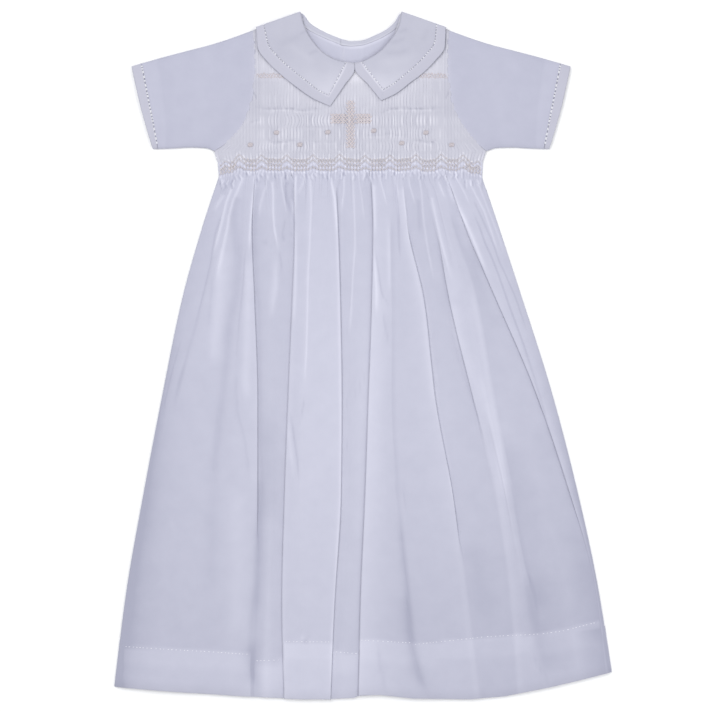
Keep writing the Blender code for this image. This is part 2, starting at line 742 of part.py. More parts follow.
ARMHOLE = BODICE[:UNDERARM_ROW - 1:-1]
make_front()
make_back_skirt()
make_back_bodice("back_bodice_left", -1)
make_back_bodice("back_bodice_right", 1)
make_sleeve("left", same_side, [EdgePoint(row.left, row.height) for row in ARMHOLE])
make_sleeve("right", other_side, [EdgePoint(row.right, row.height) for row in ARMHOLE])
make_collar(
    "left", COLLAR_LEFT_FRONT, COLLAR_LEFT_BACK, BORDER_LEFT_FRONT, BORDER_LEFT_BACK, same_side
)
make_collar(
    "right", COLLAR_RIGHT_FRONT, COLLAR_LEFT_BACK, BORDER_RIGHT_FRONT, BORDER_LEFT_BACK, other_side
)
make_binding("neck_binding_left", BINDING_LEFT, back_low)
make_binding("neck_binding_right", BINDING_RIGHT, under_placket_low)
for number, height in enumerate(BUTTON_HEIGHTS):
    make_button("button_" + str(number + 1), height)
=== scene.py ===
"""Looks for a christening gown that lies flat on its back, front up.

The cloth is built as thin shells from cross-sections: the pleats of the smocked chest and the
folds of the skirt are in the mesh. Thread work is built stitch by stitch on top of the cloth.
Tables and sizes are in millimetres, X across the gown, Y from hem to neck, Z up.
"""

import math

import bpy
import numpy as np
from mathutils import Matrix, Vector
from mathutils.bvhtree import BVHTree


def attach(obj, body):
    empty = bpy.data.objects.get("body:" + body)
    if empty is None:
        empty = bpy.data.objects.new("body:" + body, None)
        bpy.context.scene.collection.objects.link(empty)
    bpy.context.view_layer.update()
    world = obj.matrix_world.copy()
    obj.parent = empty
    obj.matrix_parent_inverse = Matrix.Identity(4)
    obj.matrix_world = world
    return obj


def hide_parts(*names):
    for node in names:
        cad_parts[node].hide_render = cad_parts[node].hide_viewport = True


bl_info = {
    "name": "Christening Gown",
    "version": (1, 0, 0),
    "blender": (4, 5, 0),
    "location": "View3D > Sidebar > Gown",
    "description": "Builds a smocked christening gown with its thread work, and a stage for it",
    "category": "Object",
}

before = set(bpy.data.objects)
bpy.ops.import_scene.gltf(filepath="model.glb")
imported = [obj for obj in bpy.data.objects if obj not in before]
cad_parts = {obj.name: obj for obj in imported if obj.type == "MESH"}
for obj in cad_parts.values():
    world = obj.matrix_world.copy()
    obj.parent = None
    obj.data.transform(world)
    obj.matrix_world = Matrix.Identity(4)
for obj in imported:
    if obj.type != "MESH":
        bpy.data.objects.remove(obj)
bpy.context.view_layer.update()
MM = 0.001
# Grey levels of the single and of the most layered cloth
DARKEST, LIGHTEST = 180.0, 245.0

# ---------------------------------------------------------------- lines that the pieces share
CENTRE = -11.5
# Along the gown: the shoulders, the underarms, the line under the waist band where the meshes of
# chest and skirt meet, the waist, the top edge of the back skirt and the lowest part of the hem
SHOULDER, UNDERARM, SPLIT, WAIST, BACK_SEAM, HEM_LEVEL = 312.5, 196.0, 185.0, 172.8, 172.4, -328.3
# Above the surface: the collar in front, the collar behind and the side edges of the sleeves
COLLAR_TOP, COLLAR_LOW, SLEEVE_RIM = 7.5, 0.6, 1.7
# The button placket reaches this far to both sides of the centre
PLACKET_HALF = 8.0
PLEATS = 84
TURN = 6.2832
# Painted highlight on the puffs of the waist band: how much lighter they are
PUFF_HIGHLIGHT = 50.0

# Height, left edge and right edge of the bodice
BODICE = np.array((
    (172.8, -138.2, 113.7), (180.0, -137.6, 113.8), (184.0, -139.0, 114.7), (190.0, -141.2, 116.2),
    (196.0, -143.0, 118.6), (201.0, -135.0, 112.5),
    (209.5, -125.0, 104.0), (222.5, -114.0, 94.0), (235.0, -109.5, 87.5), (247.5, -106.0, 84.0),
    (268.0, -103.5, 81.5), (293.0, -103.5, 81.0), (312.5, -104.5, 81.5),
))
FRONT_NECK = np.array((
    (-59.5, 328.3), (-57.0, 318.0), (-53.0, 308.5), (-46.5, 299.0), (-38.5, 290.5), (-26.5, 283.5),
    (-11.5, 280.0), (0.5, 282.0), (10.0, 287.0), (18.0, 293.0), (24.5, 300.5), (31.0, 309.0),
    (34.5, 319.5), (36.5, 328.3),
))
BACK_NECK = np.array((
    (-59.5, 328.3), (-50.5, 318.5), (-37.0, 310.5), (-24.0, 304.5), (-11.5, 301.5), (-2.0, 302.0),
    (10.0, 306.5), (23.5, 313.5), (30.5, 320.0), (36.5, 328.3),
))
HEM = np.array((
    (-239.0, -318.5), (-176.5, -323.5), (-114.0, -327.5), (-60.5, -330.2), (-31.5, -330.2),
    (-8.0, -329.0), (-3.0, -326.5), (16.5, -326.0), (48.0, -329.5), (102.5, -330.4),
    (136.5, -327.5), (189.0, -317.0), (239.0, -304.5),
))

# Lines of the skirt from its left edge to its right one. across: where the line lies at seven
# levels. rise: how far it stands up at the waist, the middle and the hem. white: how light the
# cloth is there, as a grey level: how many cloth layers back it, with painted shade that darkens
# most lines towards the hem and the side edges. tuck: how deep a knife fold goes under at the
# seven levels, with its open edge on the right (1) or the left (-1).
LEVELS = (172.8, 120.0, 52.8, -43.2, -139.2, -235.2, -328.3)
SKIRT = (
    ((-138.2, -155.0, -173.5, -193.0, -211.0, -227.5, -239.0), (0.0, 0.0, 0.0), (198, 192, 184), 0, ()),
    ((-125.0, -140.0, -155.5, -184.0, -206.0, -222.0, -233.0), (0.8, 1.0, 0.7), (202, 200, 193), 0, ()),
    ((-121.0, -131.5, -145.0, -161.5, -175.5, -190.0, -195.0), (1.6, 2.9, 2.0), (203, 202, 195), 0, ()),
    ((-116.0, -120.0, -124.0, -137.5, -146.0, -150.5, -151.5), (1.0, 0.7, 0.8), (202, 202, 195), 0, ()),
    ((-104.0, -106.5, -104.0, -101.0, -101.0, -104.5, -109.5), (2.2, 2.6, 1.5), (204, 209, 203), 1,
     (4, 8, 9, 8, 4, 0, 0)),
    ((-88.0, -85.0, -89.5, -89.5, -88.5, -91.0, -93.0), (1.4, 1.0, 0.9), (202, 202, 207), 0, ()),
    ((-66.5, -66.0, -68.2, -72.2, -75.7, -78.0, -76.0), (2.2, 2.6, 2.3), (206, 210, 207), -1,
     (4, 9, 11, 12, 12, 11, 9)),
    ((-49.0, -52.0, -52.0, -55.5, -57.5, -57.5, -56.5), (2.4, 3.0, 2.0), (206, 211, 203), 0, ()),
    ((-38.0, -38.0, -37.0, -37.5, -39.0, -42.0, -44.0), (1.9, 2.4, 1.8), (205, 211, 203), 0, ()),
    ((-26.0, -23.5, -21.5, -20.0, -21.0, -27.0, -31.0), (2.2, 2.6, 2.3), (208, 215, 206), 1,
     (1, 6, 10, 12, 12, 10, 8)),
    ((-10.0, -8.5, -9.5, -10.5, -10.5, -14.5, -17.5), (1.6, 0.9, 0.6), (204, 206, 201), 0, ()),
    ((7.5, 9.5, 8.3, 5.0, 1.7, -2.5, -4.5), (2.3, 2.8, 2.5), (208, 218, 206), -1,
     (4, 9, 12, 14, 14, 12, 10)),
    ((23.0, 26.5, 28.0, 27.0, 32.5, 42.0, 65.5), (2.4, 2.9, 1.7), (206, 205, 191), 0, ()),
    ((31.0, 35.0, 40.0, 46.0, 58.0, 74.0, 88.5), (1.4, 1.7, 0.8), (203, 204, 192), 0, ()),
    ((36.5, 43.5, 59.0, 70.0, 87.5, 99.0, 110.5), (2.0, 2.4, 0.9), (207, 211, 194), 1,
     (0, 3, 9, 9, 5, 0, 0)),
    ((58.5, 70.5, 82.5, 105.5, 129.5, 143.0, 150.5), (1.8, 2.1, 0.9), (206, 208, 194), -1,
     (0, 2, 4, 3, 0, 0, 0)),
    ((66.0, 79.5, 97.0, 117.0, 137.5, 154.5, 164.0), (2.4, 2.9, 1.0), (206, 206, 190), 0, ()),
    ((73.0, 88.5, 110.5, 127.5, 146.0, 167.0, 180.5), (1.2, 0.9, 0.8), (206, 201, 190), 0, ()),
    ((80.0, 97.9, 125.3, 164.6, 195.8, 222.2, 234.0), (1.9, 2.2, 1.0), (208, 207, 197), -1,
     (3, 6, 8, 8, 7, 6, 3)),
    ((96.0, 113.0, 137.0, 171.5, 200.0, 223.6, 236.6), (1.6, 2.0, 0.6), (205, 203, 194), 0, ()),
    ((113.7, 130.5, 151.5, 180.5, 204.5, 224.5, 239.0), (0.0, 0.0, 0.0), (201, 198, 189), 0, ()),
)

# Ridges and creases of the skirt: points, height, width on the left and on the right side, and
# how much lighter or darker the cloth is along them: lighter with more layers and painted
# highlight on the ridges, darker with fewer layers and painted shade in the creases
CREASES = (
    (((-132.5, 154.6), (-138.2, 145.9), (-143.0, 138.2)), 0.6, 2.5, 1.2, 13),
    (((-133.4, 143.0), (-138.2, 127.7), (-142.1, 116.2), (-145.0, 98.9), (-146.9, 85.4), (-152.6, 62.4),
      (-159.4, 33.6), (-168.0, 4.8), (-175.7, -24.0), (-188.2, -65.3)), -0.5, 0.9, 0.9, -10),
    (((-125.8, 161.3), (-131.5, 146.9), (-135.4, 129.6), (-139.2, 114.2), (-145.0, 93.1)),
     0.8, 1.2, 1.5, 21),
    (((-172.8, 21.1), (-182.4, -11.5), (-190.1, -43.2), (-192.0, -65.3)), -0.3, 0.8, 0.8, -6),
    (((-121.9, 171.8), (-128.6, 163.2), (-136.3, 156.5)), -0.5, 1.0, 1.0, -8),
    (((-115.2, 171.8), (-120.0, 158.4), (-124.8, 147.8), (-128.6, 133.4), (-130.6, 120.0),
      (-134.4, 102.7), (-138.2, 85.4), (-141.1, 66.2)), 1.2, 1.5, 2.0, 18),
    (((-133.4, 110.4), (-136.3, 81.6), (-138.2, 52.8), (-142.1, 17.3), (-144.0, -14.4)), 0.5, 5.0, 7.0, 11),
    (((-144.0, 85.4), (-145.9, 52.8), (-148.8, 24.0)), -0.3, 1.5, 1.0, -5),
    (((-120.0, 152.6), (-123.8, 137.3), (-121.9, 110.4), (-120.0, 89.3), (-121.9, 60.5), (-128.6, 28.8),
      (-131.5, -7.7), (-136.3, -46.1), (-140.2, -78.7), (-145.0, -126.7)), -0.7, 4.0, 4.0, -8),
    (((-112.3, 110.4), (-114.2, 89.3), (-115.2, 72.0), (-118.1, 41.3), (-121.0, 14.4), (-121.9, -7.7)
      ), -0.5, 0.8, 0.8, -7),
    (((-121.2, -7.7), (-121.4, -30.7), (-120.0, -55.7), (-113.3, -78.7), (-110.4, -102.7),
      (-107.5, -126.7)), -0.3, 2.5, 0.7, -5),
    (((-104.6, 173.8), (-103.7, 160.3), (-105.6, 147.8), (-107.5, 129.6), (-108.5, 112.3), (-109.4, 93.1)
      ), 0.8, 1.5, 1.0, 24),
    (((-110.4, 100.8), (-110.4, 62.4), (-111.4, 33.6), (-112.3, 4.8), (-113.3, -24.0), (-110.4, -52.8)
      ), 0.3, 4.0, 5.0, 10),
    (((-102.2, 162.2), (-104.2, 146.9), (-105.1, 125.8), (-105.1, 112.3), (-104.2, 98.9), (-103.2, 83.5),
      (-102.7, 62.4), (-101.3, 49.9), (-100.3, 17.3), (-99.8, -14.4), (-99.4, -62.4), (-98.4, -110.4),
      (-97.9, -139.2)), -0.4, 0.7, 3.0, -5),
    (((-98.9, -110.4), (-98.9, -139.2), (-99.8, -154.6), (-101.3, -190.1), (-102.7, -224.6),
      (-106.6, -259.2), (-107.5, -294.7), (-104.6, -325.4)), -0.9, 3.5, 4.5, -11),
    (((-94.1, -52.8), (-92.2, -81.6), (-91.2, -110.4), (-91.2, -139.2), (-93.1, -168.0)),
     0.0, 8.0, 12.0, -6),
    (((-91.2, 173.8), (-93.1, 162.2), (-96.0, 154.6), (-98.9, 143.0), (-100.8, 129.6)), 0.7, 1.2, 1.2, 13),
    (((-87.4, 168.0), (-86.4, 155.5), (-86.4, 136.3), (-85.4, 121.9), (-83.5, 112.3), (-81.6, 102.7),
      (-79.7, 97.0)), 1.0, 1.2, 1.6, 21),
    (((-83.5, 97.0), (-83.5, 66.2), (-87.4, 41.3), (-90.2, 31.7)), 0.5, 4.0, 2.5, 11),
    (((-80.6, 100.8), (-78.7, 89.3), (-77.8, 76.8)), -0.4, 0.8, 1.2, -7),
    (((-78.2, 173.8), (-77.8, 162.2), (-75.8, 150.7), (-73.9, 139.2), (-73.0, 133.4)), 0.7, 1.3, 1.0, 14),
    (((-71.0, 168.0), (-74.9, 161.3), (-73.9, 150.7), (-71.0, 143.0), (-69.1, 135.4), (-67.2, 127.7)
      ), -0.6, 1.2, 2.0, -11),
    (((-70.1, 132.5), (-74.9, 128.6), (-76.8, 118.1), (-78.7, 110.4)), -0.4, 0.9, 0.9, -7),
    (((-66.2, 116.6), (-71.0, 114.7), (-75.8, 112.3), (-80.6, 109.0)), -0.5, 0.8, 0.8, -10),
    (((-102.7, 110.4), (-93.1, 108.0), (-86.4, 102.7)), -0.35, 0.8, 0.8, -6),
    (((-64.3, 173.8), (-65.8, 162.2), (-66.2, 150.7), (-67.2, 138.2), (-66.2, 127.7)), 1.0, 0.9, 1.8, 26),
    (((-65.8, 127.7), (-64.8, 93.1), (-65.3, 62.4), (-67.2, 24.0)), 0.3, 0.6, 1.6, 13),
    (((-68.2, 150.7), (-69.1, 137.3), (-67.7, 127.7), (-67.0, 110.4), (-66.7, 93.1), (-68.2, 62.4),
      (-69.6, 17.3), (-72.0, -21.1), (-73.4, -62.4), (-74.4, -88.3), (-75.8, -139.2), (-77.3, -172.3),
      (-78.7, -224.6), (-77.3, -277.1), (-76.3, -327.4)), -0.1, 1.2, 0.7, 8),
    (((-55.7, 173.8), (-57.6, 165.1), (-60.5, 158.4), (-63.4, 152.6)), 0.8, 1.2, 1.2, 14),
    (((-50.9, 173.8), (-49.9, 160.3), (-49.4, 141.1), (-50.4, 121.9), (-50.9, 102.7), (-52.3, 83.5),
      (-52.8, 62.4), (-53.3, 33.6), (-54.2, 1.9), (-56.2, -30.7)), 0.9, 2.0, 1.2, 14),
    (((-54.7, -39.4), (-57.1, -47.0), (-58.6, -55.7), (-61.0, -65.3)), -0.4, 0.9, 0.9, -8),
    (((-71.0, -50.9), (-67.2, -72.0), (-62.9, -102.7), (-61.4, -124.8)), -0.5, 1.0, 1.0, -11),
    (((-72.5, -62.4), (-70.1, -86.4), (-66.2, -120.0)), 0.0, 1.5, 2.0, 8),
    (((-30.7, 171.8), (-28.8, 162.2), (-26.9, 150.7), (-25.0, 131.5), (-24.5, 112.3)), 0.7, 2.0, 1.0, 16),
    (((-30.7, 168.0), (-26.9, 150.7), (-24.5, 112.3), (-23.0, 62.4), (-22.1, 1.9), (-21.1, -62.4),
      (-21.6, -139.2), (-24.0, -172.3), (-26.4, -224.6), (-29.3, -268.3), (-30.7, -327.4)
      ), 0.2, 1.5, 0.6, 11),
    (((-22.6, 164.2), (-21.6, 148.8), (-20.6, 131.5), (-20.2, 89.3), (-20.4, 62.4), (-20.2, 17.3),
      (-19.5, -43.2), (-19.2, -139.2), (-21.8, -172.3), (-24.0, -224.6), (-26.6, -268.3), (-28.3, -327.4)
      ), -0.1, 0.9, 1.4, 5),
    (((-18.2, 173.8), (-18.2, 158.4), (-19.7, 146.9), (-20.2, 137.3)), 0.7, 1.2, 0.9, 18),
    (((-9.6, 173.8), (-9.1, 157.4), (-8.6, 147.8), (-7.7, 121.9), (-7.7, 102.7), (-9.6, 78.7),
      (-11.5, 41.3), (-14.4, 14.4)), 0.7, 1.3, 1.3, 13),
    (((-10.6, -38.4), (-15.4, -45.1), (-17.3, -53.8)), -0.3, 0.8, 0.8, -6),
    (((-17.3, -79.7), (-15.4, -87.4), (-16.3, -97.0)), -0.3, 0.8, 0.8, -5),
    (((3.8, -16.3), (-4.8, -34.6), (-10.6, -43.2)), -0.3, 0.9, 0.9, -6),
    (((-4.3, 175.7), (-3.4, 165.1), (-1.0, 150.7), (0.0, 141.1), (1.9, 125.8)), 0.6, 1.0, 1.0, 10),
    (((5.8, 165.1), (7.0, 148.8), (7.7, 131.5), (8.6, 112.3), (8.2, 93.1), (7.7, 62.4), (7.0, 17.3),
      (5.6, -22.1), (3.8, -54.7), (2.4, -86.4), (0.8, -139.2), (-1.0, -189.1), (-2.5, -259.2),
      (-5.0, -327.4)), 0.0, 3.0, 0.6, -2),
    (((9.6, 165.1), (10.3, 148.8), (10.8, 131.5), (11.0, 112.3)), 0.5, 0.6, 2.2, 18),
    (((10.6, 104.6), (10.8, 93.1), (11.5, 78.7), (12.5, 62.4), (12.5, 33.6)), 0.3, 0.8, 2.5, 18),
    (((11.5, 106.6), (13.0, 93.1), (15.4, 75.8), (17.3, 62.4), (19.2, 56.6), (26.9, 44.2)
      ), -0.5, 0.8, 0.9, -11),
    (((18.0, 43.2), (21.1, 26.9), (25.0, 9.6)), -0.4, 0.8, 1.5, -8),
    (((15.4, 174.7), (17.3, 165.1), (20.2, 154.6), (22.1, 146.9), (23.5, 141.1)), 0.8, 1.3, 1.0, 14),
    (((24.5, 134.4), (25.4, 110.4), (25.9, 81.6), (25.9, 52.8)), 0.4, 3.0, 0.6, 11),
    (((26.9, 141.1), (27.8, 121.9), (27.8, 102.7), (28.3, 62.4), (28.5, 41.3), (28.1, -14.4),
      (28.3, -54.7), (30.2, -94.1), (32.2, -129.6), (34.6, -154.6), (37.9, -189.1), (41.3, -216.0),
      (43.8, -250.6), (46.5, -277.1)), -0.5, 0.6, 3.0, -6),
    (((34.6, -154.6), (37.9, -189.1), (42.0, -224.6), (43.8, -250.6), (46.5, -277.1), (55.2, -312.0),
      (65.3, -328.3)), -0.8, 3.0, 2.5, -8),
    (((29.8, 174.7), (31.7, 165.1), (33.1, 155.5), (33.6, 145.9)), 0.8, 1.2, 1.2, 13),
    (((33.6, 143.0), (34.1, 121.9), (34.6, 110.4), (36.0, 88.3)), -0.6, 0.8, 0.8, -10),
    (((38.4, 160.3), (40.3, 143.0), (44.2, 112.3), (49.9, 88.3), (55.7, 60.5), (60.5, 36.5), (62.4, 9.6),
      (67.2, -22.1), (69.1, -54.7)), 0.4, 4.5, 0.6, 8),
    (((38.4, 163.2), (40.3, 143.0), (42.2, 131.5), (44.2, 112.3), (47.0, 100.8)), 0.6, 1.0, 0.8, 14),
    (((46.1, 112.3), (49.0, 100.8), (51.8, 88.3), (55.2, 73.9), (58.1, 60.5), (62.9, 36.5), (64.8, 9.6),
      (69.6, -22.1), (71.5, -54.7), (77.3, -81.6), (82.1, -102.7), (83.5, -120.0), (87.4, -139.2),
      (92.6, -160.3)), -0.1, 1.2, 1.6, 10),
    (((43.2, 174.7), (45.1, 162.2), (48.0, 152.6), (50.4, 143.0)), 0.7, 1.2, 1.0, 14),
    (((52.8, 150.7), (53.8, 134.4), (54.2, 115.2)), -0.4, 1.5, 2.0, -8),
    (((53.8, 171.8), (56.2, 155.5), (57.1, 141.1), (58.6, 125.8), (60.5, 112.3), (62.9, 97.9),
      (65.8, 83.5), (68.2, 69.1)), 0.7, 1.0, 1.2, 14),
    (((61.4, 162.2), (62.4, 152.6), (64.3, 145.9)), -0.5, 1.0, 1.0, -7),
    (((65.3, 152.6), (68.2, 138.2), (71.0, 125.8), (73.9, 112.3), (77.8, 97.9), (81.6, 83.5), (85.4, 69.1)
      ), 0.8, 1.0, 2.0, 16),
    (((67.2, 125.8), (72.0, 104.6), (75.8, 87.4), (78.7, 64.3), (81.6, 52.8), (86.4, 21.1), (93.1, -6.7),
      (102.7, -35.5), (109.2, -54.7), (115.2, -81.6), (120.0, -94.1)), -0.4, 1.6, 0.6, -3),
    (((83.5, 65.3), (91.2, 17.3), (100.8, -6.7), (116.2, -46.1), (127.7, -78.7), (131.5, -110.4),
      (132.5, -139.2)), 0.3, 4.0, 8.0, 8),
    (((72.0, 168.0), (75.8, 158.4), (79.2, 149.8)), 0.8, 1.2, 1.0, 16),
    (((79.7, 145.9), (84.5, 133.4), (88.3, 120.0), (93.1, 104.6), (97.0, 93.1), (102.7, 81.6),
      (106.6, 67.2), (114.0, 41.3), (118.8, 14.4), (123.6, -14.4), (129.6, -46.1), (134.4, -70.1),
      (142.1, -118.1), (145.9, -145.9), (151.2, -177.6), (156.5, -203.5), (165.1, -233.3), (167.0, -256.3)
      ), -0.4, 0.8, 5.0, -8),
    (((102.7, 67.2), (109.4, 41.3), (114.2, 14.4), (119.0, -14.4), (124.8, -46.1), (129.6, -70.1),
      (136.3, -118.1), (140.2, -145.9)), 0.2, 5.0, 2.0, 8),
    (((76.8, 173.8), (80.6, 167.0), (85.4, 153.6), (91.2, 141.1), (97.0, 129.6), (102.7, 117.1),
      (108.5, 102.7), (114.2, 88.3), (121.0, 73.9)), 1.0, 0.9, 2.5, 21),
    (((74.9, 175.7), (81.6, 157.4), (86.4, 147.8), (92.2, 131.5), (98.9, 116.2), (107.5, 97.0),
      (113.3, 81.6), (124.8, 49.9), (138.0, 17.3), (147.6, -2.9), (157.2, -26.9), (168.0, -54.7),
      (177.6, -74.9), (184.3, -94.1), (190.8, -118.1), (195.6, -139.2), (198.2, -154.6), (208.8, -189.1),
      (217.4, -217.9), (222.7, -245.8), (225.6, -256.3), (233.3, -280.3), (236.2, -296.6)
      ), -0.3, 2.3, 0.5, -5),
    (((85.4, 137.3), (95.0, 110.4), (108.5, 83.5), (126.7, 33.6), (141.1, 2.9)), 0.0, 4.0, 4.0, -7),
    (((86.4, 174.7), (92.2, 165.1), (97.9, 154.6), (102.7, 143.0)), 0.7, 1.1, 1.3, 13),
    (((103.7, 141.1), (112.3, 121.9), (117.1, 107.5), (123.8, 93.1), (130.6, 75.8), (141.1, 45.1),
      (153.6, 11.5), (165.1, -24.0), (172.8, -50.9), (179.5, -78.7)), -0.5, 0.9, 0.9, -11),
    (((100.8, 169.0), (107.5, 154.6), (116.2, 138.2), (121.9, 121.9), (126.7, 106.6), (131.5, 93.1)
      ), 0.6, 0.9, 1.5, 14),
    (((106.6, 147.8), (113.3, 133.4), (121.0, 116.2), (126.7, 102.7), (130.6, 90.2), (136.3, 78.7),
      (147.6, 52.8), (158.4, 19.2)), -0.4, 0.8, 0.8, -10),
    (((108.5, 169.9), (117.1, 147.8), (125.8, 125.8), (131.5, 110.4), (136.3, 93.1)), 0.6, 0.8, 1.2, 11),
    (((-143.0, -120.0), (-145.0, -158.4), (-146.9, -196.8), (-145.0, -235.2)), -0.6, 7.0, 6.0, -4),
    (((-121.0, -120.0), (-121.0, -177.6), (-121.9, -235.2), (-122.9, -283.2)), 0.4, 9.0, 9.0, 6),
    (((102.7, -172.8), (112.3, -225.6), (118.1, -259.2)), -0.5, 12.0, 12.0, -5),
    (((39.4, -120.0), (39.4, -137.3), (42.9, -154.6)), -0.3, 0.8, 0.8, -5),
    (((156.5, -203.5), (160.3, -217.9), (165.1, -233.3)), -0.3, 0.8, 0.8, -5),
    (((13.4, -273.6), (16.8, -303.4), (22.1, -325.4)), -0.5, 1.2, 2.5, -6),
    (((161.3, -287.0), (169.9, -301.4), (179.0, -314.9)), -0.3, 1.0, 1.5, -5),
    (((-63.4, -268.8), (-56.6, -271.7), (-49.0, -275.5)), 0.5, 0.9, 1.1, 10),
    (((-61.4, -272.6), (-54.7, -275.0), (-49.0, -278.4)), -0.4, 0.9, 0.9, -7),
    (((-107.5, -269.8), (-108.0, -294.7), (-104.6, -325.4)), -0.5, 8.0, 6.0, -13),
    (((-102.0, -150.0), (-102.5, -200.0), (-105.0, -262.0)), -0.2, 5.5, 5.5, -6),
    (((40.0, -222.0), (44.0, -262.0), (50.0, -300.0), (64.0, -331.0)), -0.6, 7.0, 5.5, -9),
    (((156.0, -205.0), (163.0, -245.0), (170.0, -278.0), (180.0, -312.0)), -0.3, 6.0, 8.0, -11),
    (((92.0, 142.0), (97.0, 118.0), (104.0, 94.0)), 0.2, 5.0, 5.0, 8),
    (((84.0, 88.0), (87.0, 70.0), (89.0, 50.0)), 0.1, 5.0, 5.0, 6),
    (((-97.0, 166.0), (-97.0, 148.0), (-96.0, 128.0)), 0.15, 8.0, 8.0, 4),
    (((-59.0, -271.0), (-55.0, -273.4), (-48.0, -272.6)), -0.5, 1.6, 1.6, -9),
    (((-178.6, -159.4), (-188.2, -165.1), (-198.7, -172.8)), 0.4, 1.2, 1.2, 5),
)
# The same for the back skirt, which is pressed flat by its own weight
BACK_CREASES = (
    (((-98.0, 166.0), (-114.0, 80.0), (-133.0, -30.0), (-149.0, -150.0)), 0.3, 3.0, 4.5, 9),
    (((-91.0, 166.0), (-105.0, 80.0), (-120.0, -40.0)), -0.1, 3.0, 3.0, -8),
    (((-60.0, 168.0), (-68.0, 60.0), (-78.0, -90.0), (-84.0, -240.0)), 0.35, 3.5, 5.0, 10),
    (((-53.0, 168.0), (-59.0, 60.0), (-65.0, -60.0)), -0.1, 3.0, 3.0, -8),
    (((-24.0, 168.0), (-28.0, 100.0), (-31.0, 10.0)), 0.3, 2.5, 4.0, 9),
    (((14.0, 168.0), (15.0, 60.0), (13.0, -110.0), (8.0, -270.0)), 0.35, 4.0, 5.5, 10),
    (((21.0, 168.0), (23.0, 60.0), (22.0, -60.0)), -0.1, 3.0, 3.0, -8),
    (((48.0, 168.0), (56.0, 70.0), (70.0, -40.0), (84.0, -170.0)), 0.3, 3.0, 4.5, 9),
    (((78.0, 166.0), (93.0, 70.0), (112.0, -40.0), (127.0, -130.0)), 0.3, 3.0, 4.5, 9),
    (((85.0, 166.0), (101.0, 80.0), (119.0, -20.0)), -0.1, 3.0, 3.0, -8),
)
# Where the hem is stitched, panel by panel: left end, right end, both heights
HEM_LINES = (
    (-229.0, -280.0, -109.0, -287.5), (-103.5, -293.8, -77.4, -292.8), (-75.0, -275.0, -29.0, -275.5),
    (-27.0, -285.1, -4.9, -287.0), (-2.6, -273.6, 47.0, -276.5), (49.0, -277.8, 117.1, -270.7),
    (118.0, -270.6, 171.0, -267.8), (171.6, -267.7, 190.5, -265.2), (191.0, -265.1, 226.5, -256.0),
)

# Sleeve outlines
SLEEVE_TOP_LINE = np.array((
    (-104.5, 312.5), (-126.5, 304.5), (-145.0, 298.5), (-168.0, 292.5), (-189.0, 287.0), (-222.5, 277.5),
))
SLEEVE_CUFF_LINE = np.array((
    (-222.5, 277.5), (-217.9, 256.5), (-213.6, 238.0), (-208.9, 221.0), (-202.0, 198.0),
))
SLEEVE_LOWER_LINE = np.array((
    (-143.0, 196.0), (-151.5, 199.0), (-166.0, 199.5), (-185.5, 198.5), (-202.0, 198.0),
))
CUFF_DEPTH = 8.9

# Collar rows from the front end to the shoulder: neck edge, hemstitch line and outer edge
COLLAR_LEFT = np.array((
    (-16.2, 281.0, -33.0, 249.0, -31.5, 238.5), (-27.5, 284.0, -43.0, 254.0, -48.0, 246.0),
    (-38.5, 290.5, -53.5, 262.2, -60.5, 254.5), (-46.5, 299.0, -67.3, 273.0, -76.0, 266.5),
    (-53.0, 308.5, -81.2, 285.6, -90.0, 279.5), (-57.0, 318.0, -90.7, 297.8, -101.0, 295.0),
    (-59.5, 328.0, -95.0, 315.6, -102.3, 313.0),
))
COLLAR_RIGHT = np.array((
    (-1.5, 281.4, 19.5, 254.5, 17.5, 244.0), (8.0, 286.0, 29.0, 260.0, 32.0, 251.0),
    (18.0, 293.0, 39.0, 268.0, 45.0, 261.0), (24.5, 300.5, 49.5, 277.0, 57.0, 270.0),
    (31.0, 309.0, 60.5, 288.0, 68.5, 281.5), (35.0, 318.5, 69.0, 301.0, 78.5, 296.0),
    (36.5, 328.0, 70.5, 316.1, 79.3, 313.0),
))
COLLAR_BACK = np.array((
    (-53.0, 321.3, -84.0, 287.5, -91.5, 281.0), (-44.5, 315.0, -66.0, 271.5, -71.0, 263.0),
    (-35.5, 309.8, -46.0, 264.5, -49.0, 255.0), (-27.5, 306.2, -27.5, 262.0, -17.5, 251.5),
))
BORDER_LEFT_END = np.array((
    (-16.2, 281.0, -8.3, 280.3), (-18.3, 277.0, -7.9, 274.9), (-24.5, 264.8, -18.0, 258.5),
))
BORDER_RIGHT_END = np.array((
    (-1.5, 281.4, -8.0, 280.4), (1.1, 278.1, -7.8, 274.9), (9.0, 268.0, 4.8, 259.5),
))
# Soft wrinkles of the collar: points, depth, width, and how much lighter or darker they are, as painted
# highlight on the raised ones and painted shade in the dents
COLLAR_WRINKLES = (
    (((-54.0, 310.5), (-62.0, 305.5), (-72.0, 300.0), (-84.0, 297.0)), -0.25, 3.5, -4),
    (((-41.0, 291.5), (-47.0, 291.0), (-54.0, 287.0)), -0.35, 1.6, -7),
    (((-53.5, 310.0), (-56.5, 309.5), (-61.0, 308.0)), -0.35, 1.4, -7),
    (((-74.0, 303.0), (-66.0, 294.0), (-56.0, 287.0), (-46.0, 279.0)), 0.25, 3.0, 3),
    (((-88.0, 305.0), (-78.0, 290.0), (-64.0, 279.0)), -0.25, 5.0, -3),
    (((-50.0, 283.0), (-42.0, 275.0), (-32.0, 268.0)), -0.15, 5.0, -3),
    (((17.5, 291.5), (25.0, 289.5), (36.0, 290.0), (48.0, 294.0)), -0.3, 2.4, -6),
    (((24.0, 299.0), (31.0, 300.0), (42.0, 304.5)), -0.3, 1.8, -6),
    (((31.5, 309.5), (37.0, 310.5), (45.0, 313.0)), -0.3, 1.5, -6),
    (((10.0, 285.0), (24.0, 281.0), (40.0, 282.0), (56.0, 290.0)), 0.25, 3.5, 4),
    (((4.0, 277.0), (16.0, 272.0), (30.0, 270.0)), -0.2, 4.0, -3),
    (((56.0, 300.0), (60.0, 306.0), (62.0, 314.0)), -0.2, 3.0, -3),
)
